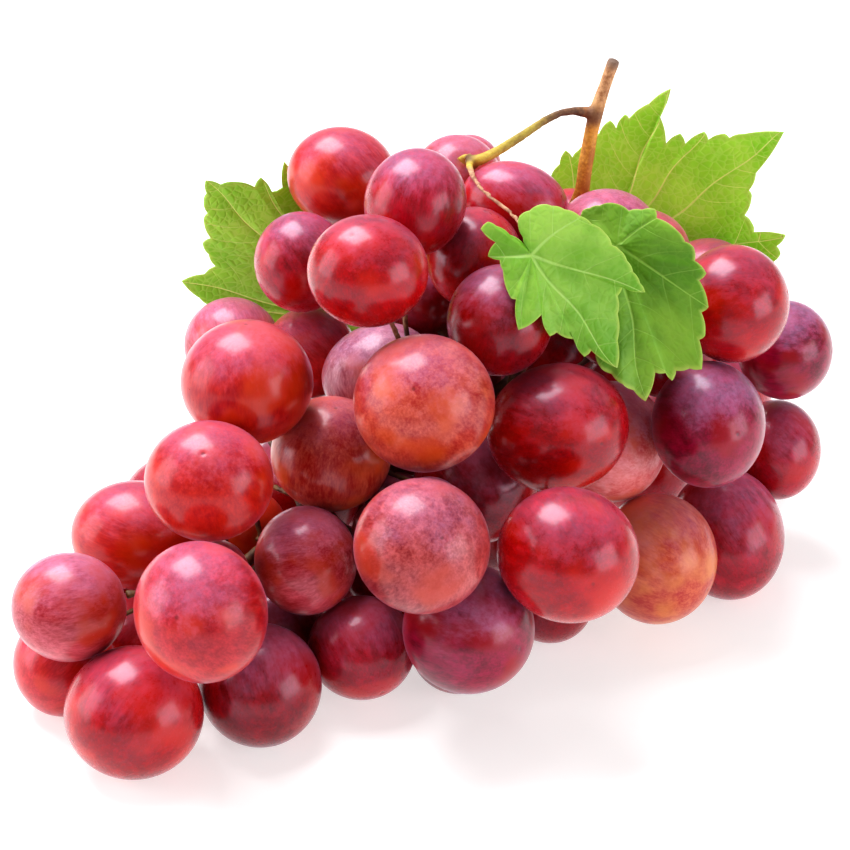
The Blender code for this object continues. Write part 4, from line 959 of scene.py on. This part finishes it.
def make_leaf(name):
    """A leaf's blade: a seen and an under side about the same rows, and the rim between."""
    junction, rings = read_blade(name)
    if name in HANGING_PLANES:
        rings = hung(rings, HANGING_PLANES[name])
    ends = np.array(VEIN_ENDS[name])
    axes = blade_axes(junction, rings, ends[0])
    directions = vein_directions(junction, rings, axes, ends)
    x, y, height, share = blade_grid(junction, rings, axes, directions)
    thick = BLADE_EDGE + (BLADE_THICKNESS - BLADE_EDGE) * (1 - share ** 8)
    faces = []
    values = []
    for side in (1, -1):
        level = height - SOLID_BLADE / 2 + side * thick / 2
        grid = np.stack((x, y, level), axis=-1).reshape(-1, 3)
        hub = np.array(((0.0, 0.0, -VEIN_SINK - SOLID_BLADE / 2 + side * BLADE_THICKNESS / 2),))
        faces.append(np.vstack((hub, grid)))
        values.append(np.concatenate((np.zeros(1), share.ravel())))
    local = np.vstack(faces)
    under = np.repeat((0.0, 1.0), len(local) // 2)
    material = make_blade_finish(name + "_finish", BLADE_LOOKS[name], directions)
    places = junction + local @ axes
    piece = new_piece(name + "_blade", places, blade_faces(*x.shape), material, name)
    add_values(piece, "blade_place", np.column_stack((local[:, :2], under)))
    add_values(piece, "blade_share", np.concatenate(values))


def make_skin_finish(name, skin):
    """Translucent skin: patched and streaked from stalk to scar, dotted, dusted with bloom, with a
    lilac highlight painted where it faces up.
    """
    finish = Finish("skin_" + name)
    deep, bright, orange = (shade(*colour) for colour in (skin.deep, skin.bright, skin.glow))
    place = finish.object_place()
    pattern = finish.attribute("skin_pattern", give="Vector")
    from_scar = finish.attribute("from_scar")
    from_stalk = finish.attribute("from_stalk")
    faces_up_for_highlight = finish.attribute("faces_up_for_highlight")
    along_skin = finish.vectors("MULTIPLY", pattern, (1.0, 1.0, STREAK_STRETCH))
    patches = finish.spots(place, PATCHES, detail=4.0, roughness=0.65)
    streaks = finish.spots(along_skin, STREAKS, detail=4.0, roughness=0.7)
    lines = finish.spots(along_skin, LINES, roughness=0.6)
    strength = patches * PATCHES.share + streaks * STREAKS.share + lines * LINES.share
    colour = finish.mixed(deep, bright, strength)
    # Painted glow: orange for light shining through the skin, in random patches and near the stalk
    glow = finish.spots(pattern, GLOW) * GLOW.share
    glow = glow + (1 - finish.rising(from_stalk, *STALK_GLOW_BAND)) * STALK_GLOW_SHARE
    colour = finish.mixed(colour, orange, clamped(glow))
    dots = 1 - finish.rising(finish.cells(place, DOTS.scale), *DOTS.band)
    colour = finish.mixed(colour, bright, dots * DOTS.share)
    dust = finish.noise(place, DUST.scale, detail=4.0, roughness=0.6)
    fine = finish.spots(place, FINE_DUST, detail=3.0, roughness=0.7)
    # Painted highlight: a lilac veil where the skin faces up, for the reflection of the light
    # overhead, on top of real bloom broken up by dust
    painted_top_highlight = finish.rising(faces_up_for_highlight + dust * DUST.share + streaks * DUST_STREAKS, *TOP_HIGHLIGHT_BAND)
    bloom = clamped(painted_top_highlight + finish.rising(dust, *DUST.band) * BLOOM_SPARSE)
    bloom = bloom * (fine * FINE_DUST.share + (1 - FINE_DUST.share))
    colour = finish.mixed(colour, BLOOM_AND_HIGHLIGHT_COLOUR, bloom * (skin.bloom * BLOOM_AND_HIGHLIGHT_SHARE))
    scar = 1 - finish.rising(from_scar, *SCAR_BAND)
    ring = 1 - finish.rising(from_stalk, *RING_BAND)
    colour = finish.mixed(colour, SCAR_COLOUR, scar * SCAR_SHARE)
    colour = finish.mixed(colour, DIMPLE_COLOUR, ring * RING_SHARE)
    grain = finish.noise(place, GRAIN_SCALE, detail=2.0)
    return finish.surface({
        "Base Color": colour,
        "Roughness": bloom * 0.1 + (fine * 0.08 + skin.gloss - 0.06),
        "Normal": finish.relief(grain + dots * 0.6, GRAIN_DEPTH, strength=0.35),
        "Subsurface Weight": 0.4,
        "Subsurface Radius": (1.0, 0.12, 0.07),
        "Subsurface Scale": 2.4 * MM,
        "IOR": 1.5,
        "Specular IOR Level": 0.28,
        "Specular Tint": shade(248, 206, 255),
        "Sheen Weight": 0.03 + 0.2 * skin.bloom,
        "Sheen Roughness": 0.3,
        "Sheen Tint": shade(224, 184, 236),
        "Coat Weight": 0.5,
        "Coat Roughness": 0.2,
    })


def make_blade_finish(name, look, directions):
    """A leaf's finish: main veins, side veins and a fine net, paler than the blade."""
    finish = Finish(name)
    place = finish.object_place()
    flat_x, flat_y, under = finish.parts(finish.attribute("blade_place", give="Vector"))
    share = finish.attribute("blade_share")
    x, y = drifted(flat_x, flat_y)
    along, beside, lead = vein_frame(x, y, directions)
    width = MAIN_VEIN_WIDTH * (1.0 - share * MAIN_VEIN_TAPER)
    main = clamped(VEIN_FADE - beside / width)
    level = (side_level(along, beside) + 0.5) % 1.0
    off = abs(level - 0.5) * (SIDE_SPACING * SIDE_SLANT)
    width = SIDE_VEIN_WIDTH * (1.1 - share * 0.5)
    side = clamped(VEIN_FADE - off / width) * clamped(lead / SIDE_FADE)
    flat = finish.joined(x, y, 0.0)
    net = finish.cells(flat, NET.scale, feature="DISTANCE_TO_EDGE")
    mesh = 1 - finish.rising(net, *NET.band)
    tone = finish.rising(finish.noise(place, TONE_SCALE, detail=3.0), *TONE_BAND)
    colour = finish.mixed(look.deep, look.bright, tone)
    colour = finish.mixed(colour, look.vein, mesh * (NET.share * look.vein_strength))
    colour = finish.mixed(colour, look.vein, side * look.vein_strength)
    colour = finish.mixed(colour, look.vein, main * (0.5 + 0.5 * look.vein_strength))
    tips = finish.rising(share, *TIP_BAND)
    colour = finish.mixed(colour, TIP_COLOUR, tips * TIP_SHARE)
    colour = finish.mixed(colour, look.under, under * UNDER_SHARE)
    height = finish.rising(net, *NET_RISE_BAND) * 0.5 - side * 0.5 - main * 0.7
    return finish.surface({
        "Base Color": colour,
        "Roughness": 0.5 + under * 0.2 - main * 0.08,
        "Normal": finish.relief(height, LEAF_RELIEF, strength=0.6),
        "Subsurface Weight": 0.25,
        "Subsurface Radius": (0.4, 1.0, 0.12),
        "Subsurface Scale": 0.8 * MM,
        "Specular IOR Level": 0.35,
    })


def make_bark_finish():
    """Tan bark that turns orange below the dark swollen joint, where the side arm starts.

    The arm goes from brown to olive and yellow towards its fork, the thin twig is pale,
    and the stalks inside the bunch are dull brown and green, painted darker as the shade
    between the berries.
    """
    finish = Finish("stem_bark")
    place = finish.object_place()
    up = finish.parts(place)[2]
    points = (STEM_TOP, STEM_FOOT, JOINT, FORK)
    top, foot, joint, fork = (seen_at(*pixel, height) for pixel, height in points)
    from_top = finish.apart(place, top)
    from_joint = finish.apart(place, joint)
    from_fork = finish.apart(place, fork)
    over_fork = finish.beyond(place, fork, VIEW_UP)
    off_stem = smaller(finish.off_line(place, joint, unit(top - joint)),
                       finish.off_line(place, joint, unit(joint - foot)))
    fine = finish.noise(place, BARK_FINE_SCALE, detail=4.0, roughness=0.65)
    slow = finish.noise(place, BARK_SLOW_SCALE, detail=3.0)
    tone = finish.rising(fine * 0.5 + slow * 0.5, *BARK_BAND)
    bark = {name: finish.mixed(shade(*deep), shade(*bright), tone)
            for name, (deep, bright) in BARK_TONES.items()}
    joint_heights = (float(joint[2]) + turn for turn in JOINT_TURN)
    stem = finish.mixed(bark["orange"], bark["tan"], finish.rising(up, *joint_heights))
    stem = finish.mixed(CUT_COLOUR, stem, finish.rising(from_top, *CUT_TURN))
    arm = finish.mixed(bark["brown"], bark["olive"], finish.rising(from_joint, *ARM_TURN))
    arm = finish.mixed(bark["yellow"], arm, finish.rising(from_fork, *FORK_TURN))
    arm = finish.mixed(FORK_COLOUR, arm, finish.rising(from_fork, *FORK_DARK))
    arm = finish.mixed(bark["twig"], arm, finish.rising(over_fork, *TWIG_TURN))
    colour = finish.mixed(stem, arm, finish.rising(off_stem, *STEM_EDGE))
    swollen = 1 - finish.rising(from_joint, *JOINT_DARK)
    colour = finish.mixed(colour, JOINT_COLOUR, swollen * JOINT_SHARE)
    # Painted shade: the stalks low inside the bunch take dark tones for the shade between the berries
    stalk = finish.mixed(*STALK_AND_SHADE_TONES, finish.rising(slow, *STALK_BAND))
    colour = finish.mixed(stalk, colour, finish.rising(up, *STALK_SHADE_TURN))
    return finish.surface({
        "Base Color": colour,
        "Roughness": 0.5 + fine * 0.2,
        "Normal": finish.relief(fine * 0.6 + slow * 0.4, BARK_RELIEF, strength=0.7),
    })


def make_floor_finish():
    """Matt and pale, with a glow of its own."""
    finish = Finish("pale_floor")
    return finish.surface({
        "Base Color": (0.64, 0.64, 0.64),
        "Emission Color": (1.0, 1.0, 1.0),
        "Emission Strength": FLOOR_GLOW,
        "Roughness": 0.9,
        "Specular IOR Level": 0.1,
    })


def put(name, data):
    """An object in the scene that holds the data."""
    made = bpy.data.objects.new(name, data)
    scene.collection.objects.link(made)
    return made


def pose(place, axes):
    """An object's matrix from its place and its axes as columns."""
    return Matrix.Translation(place.tolist()) @ Matrix(axes.tolist()).to_4x4()


def make_camera():
    """A camera with the picture's lens, looking from the eye along the view."""
    data = bpy.data.cameras.new("picture_camera")
    data.sensor_width = SENSOR_WIDTH
    data.lens = SENSOR_WIDTH * PICTURE_FOCAL / PICTURE_SIDE
    data.clip_start = 0.01
    data.clip_end = 50.0
    camera = put("picture_camera", data)
    camera.matrix_world = pose(EYE, np.stack((VIEW_RIGHT, VIEW_UP, -VIEW_AHEAD), axis=1))
    scene.camera = camera


def make_stage():
    """A plain pale floor, a white surround and wide soft lights."""
    half = FLOOR_SIZE / 2
    mesh = bpy.data.meshes.new("floor")
    corners = [(-half, -half, -FLOOR_DROP), (half, -half, -FLOOR_DROP), (half, half, -FLOOR_DROP),
               (-half, half, -FLOOR_DROP)]
    mesh.from_pydata(corners, [], [(0, 1, 2, 3)])
    mesh.materials.append(make_floor_finish())
    floor = put("floor", mesh)
    world = bpy.data.worlds.new("white_surround")
    world.use_nodes = True
    background = world.node_tree.nodes["Background"]
    background.inputs["Color"].default_value = (1.0, 1.0, 1.0, 1.0)
    background.inputs["Strength"].default_value = WORLD_LIGHT
    scene.world = world
    for light in SOFT_LIGHTS:
        data = bpy.data.lights.new(light.name, "AREA")
        data.shape = "RECTANGLE"
        data.size = light.width
        data.size_y = light.height
        data.energy = light.power
        lamp = put(light.name, data)
        away = VIEW_RIGHT * light.right + np.array((0, 0, 1.0)) * light.up + VIEW_AWAY * light.ahead
        lamp.matrix_world = pose(AIM + away, turned_to(away))


make_camera()
make_stage()
scene.view_settings.view_transform = "Standard"
scene.view_settings.look = "Medium High Contrast"
stalk_ends, stalk_facings = find_stalk_ends()
skin_finishes = {name: make_skin_finish(name, skin) for name, skin in SKINS.items()}
make_seen_berries(skin_finishes, stalk_ends, stalk_facings)
make_back_berries(skin_finishes, stalk_ends, stalk_facings)
make_stem(make_bark_finish())
for leaf in VEIN_ENDS:
    make_leaf(leaf)
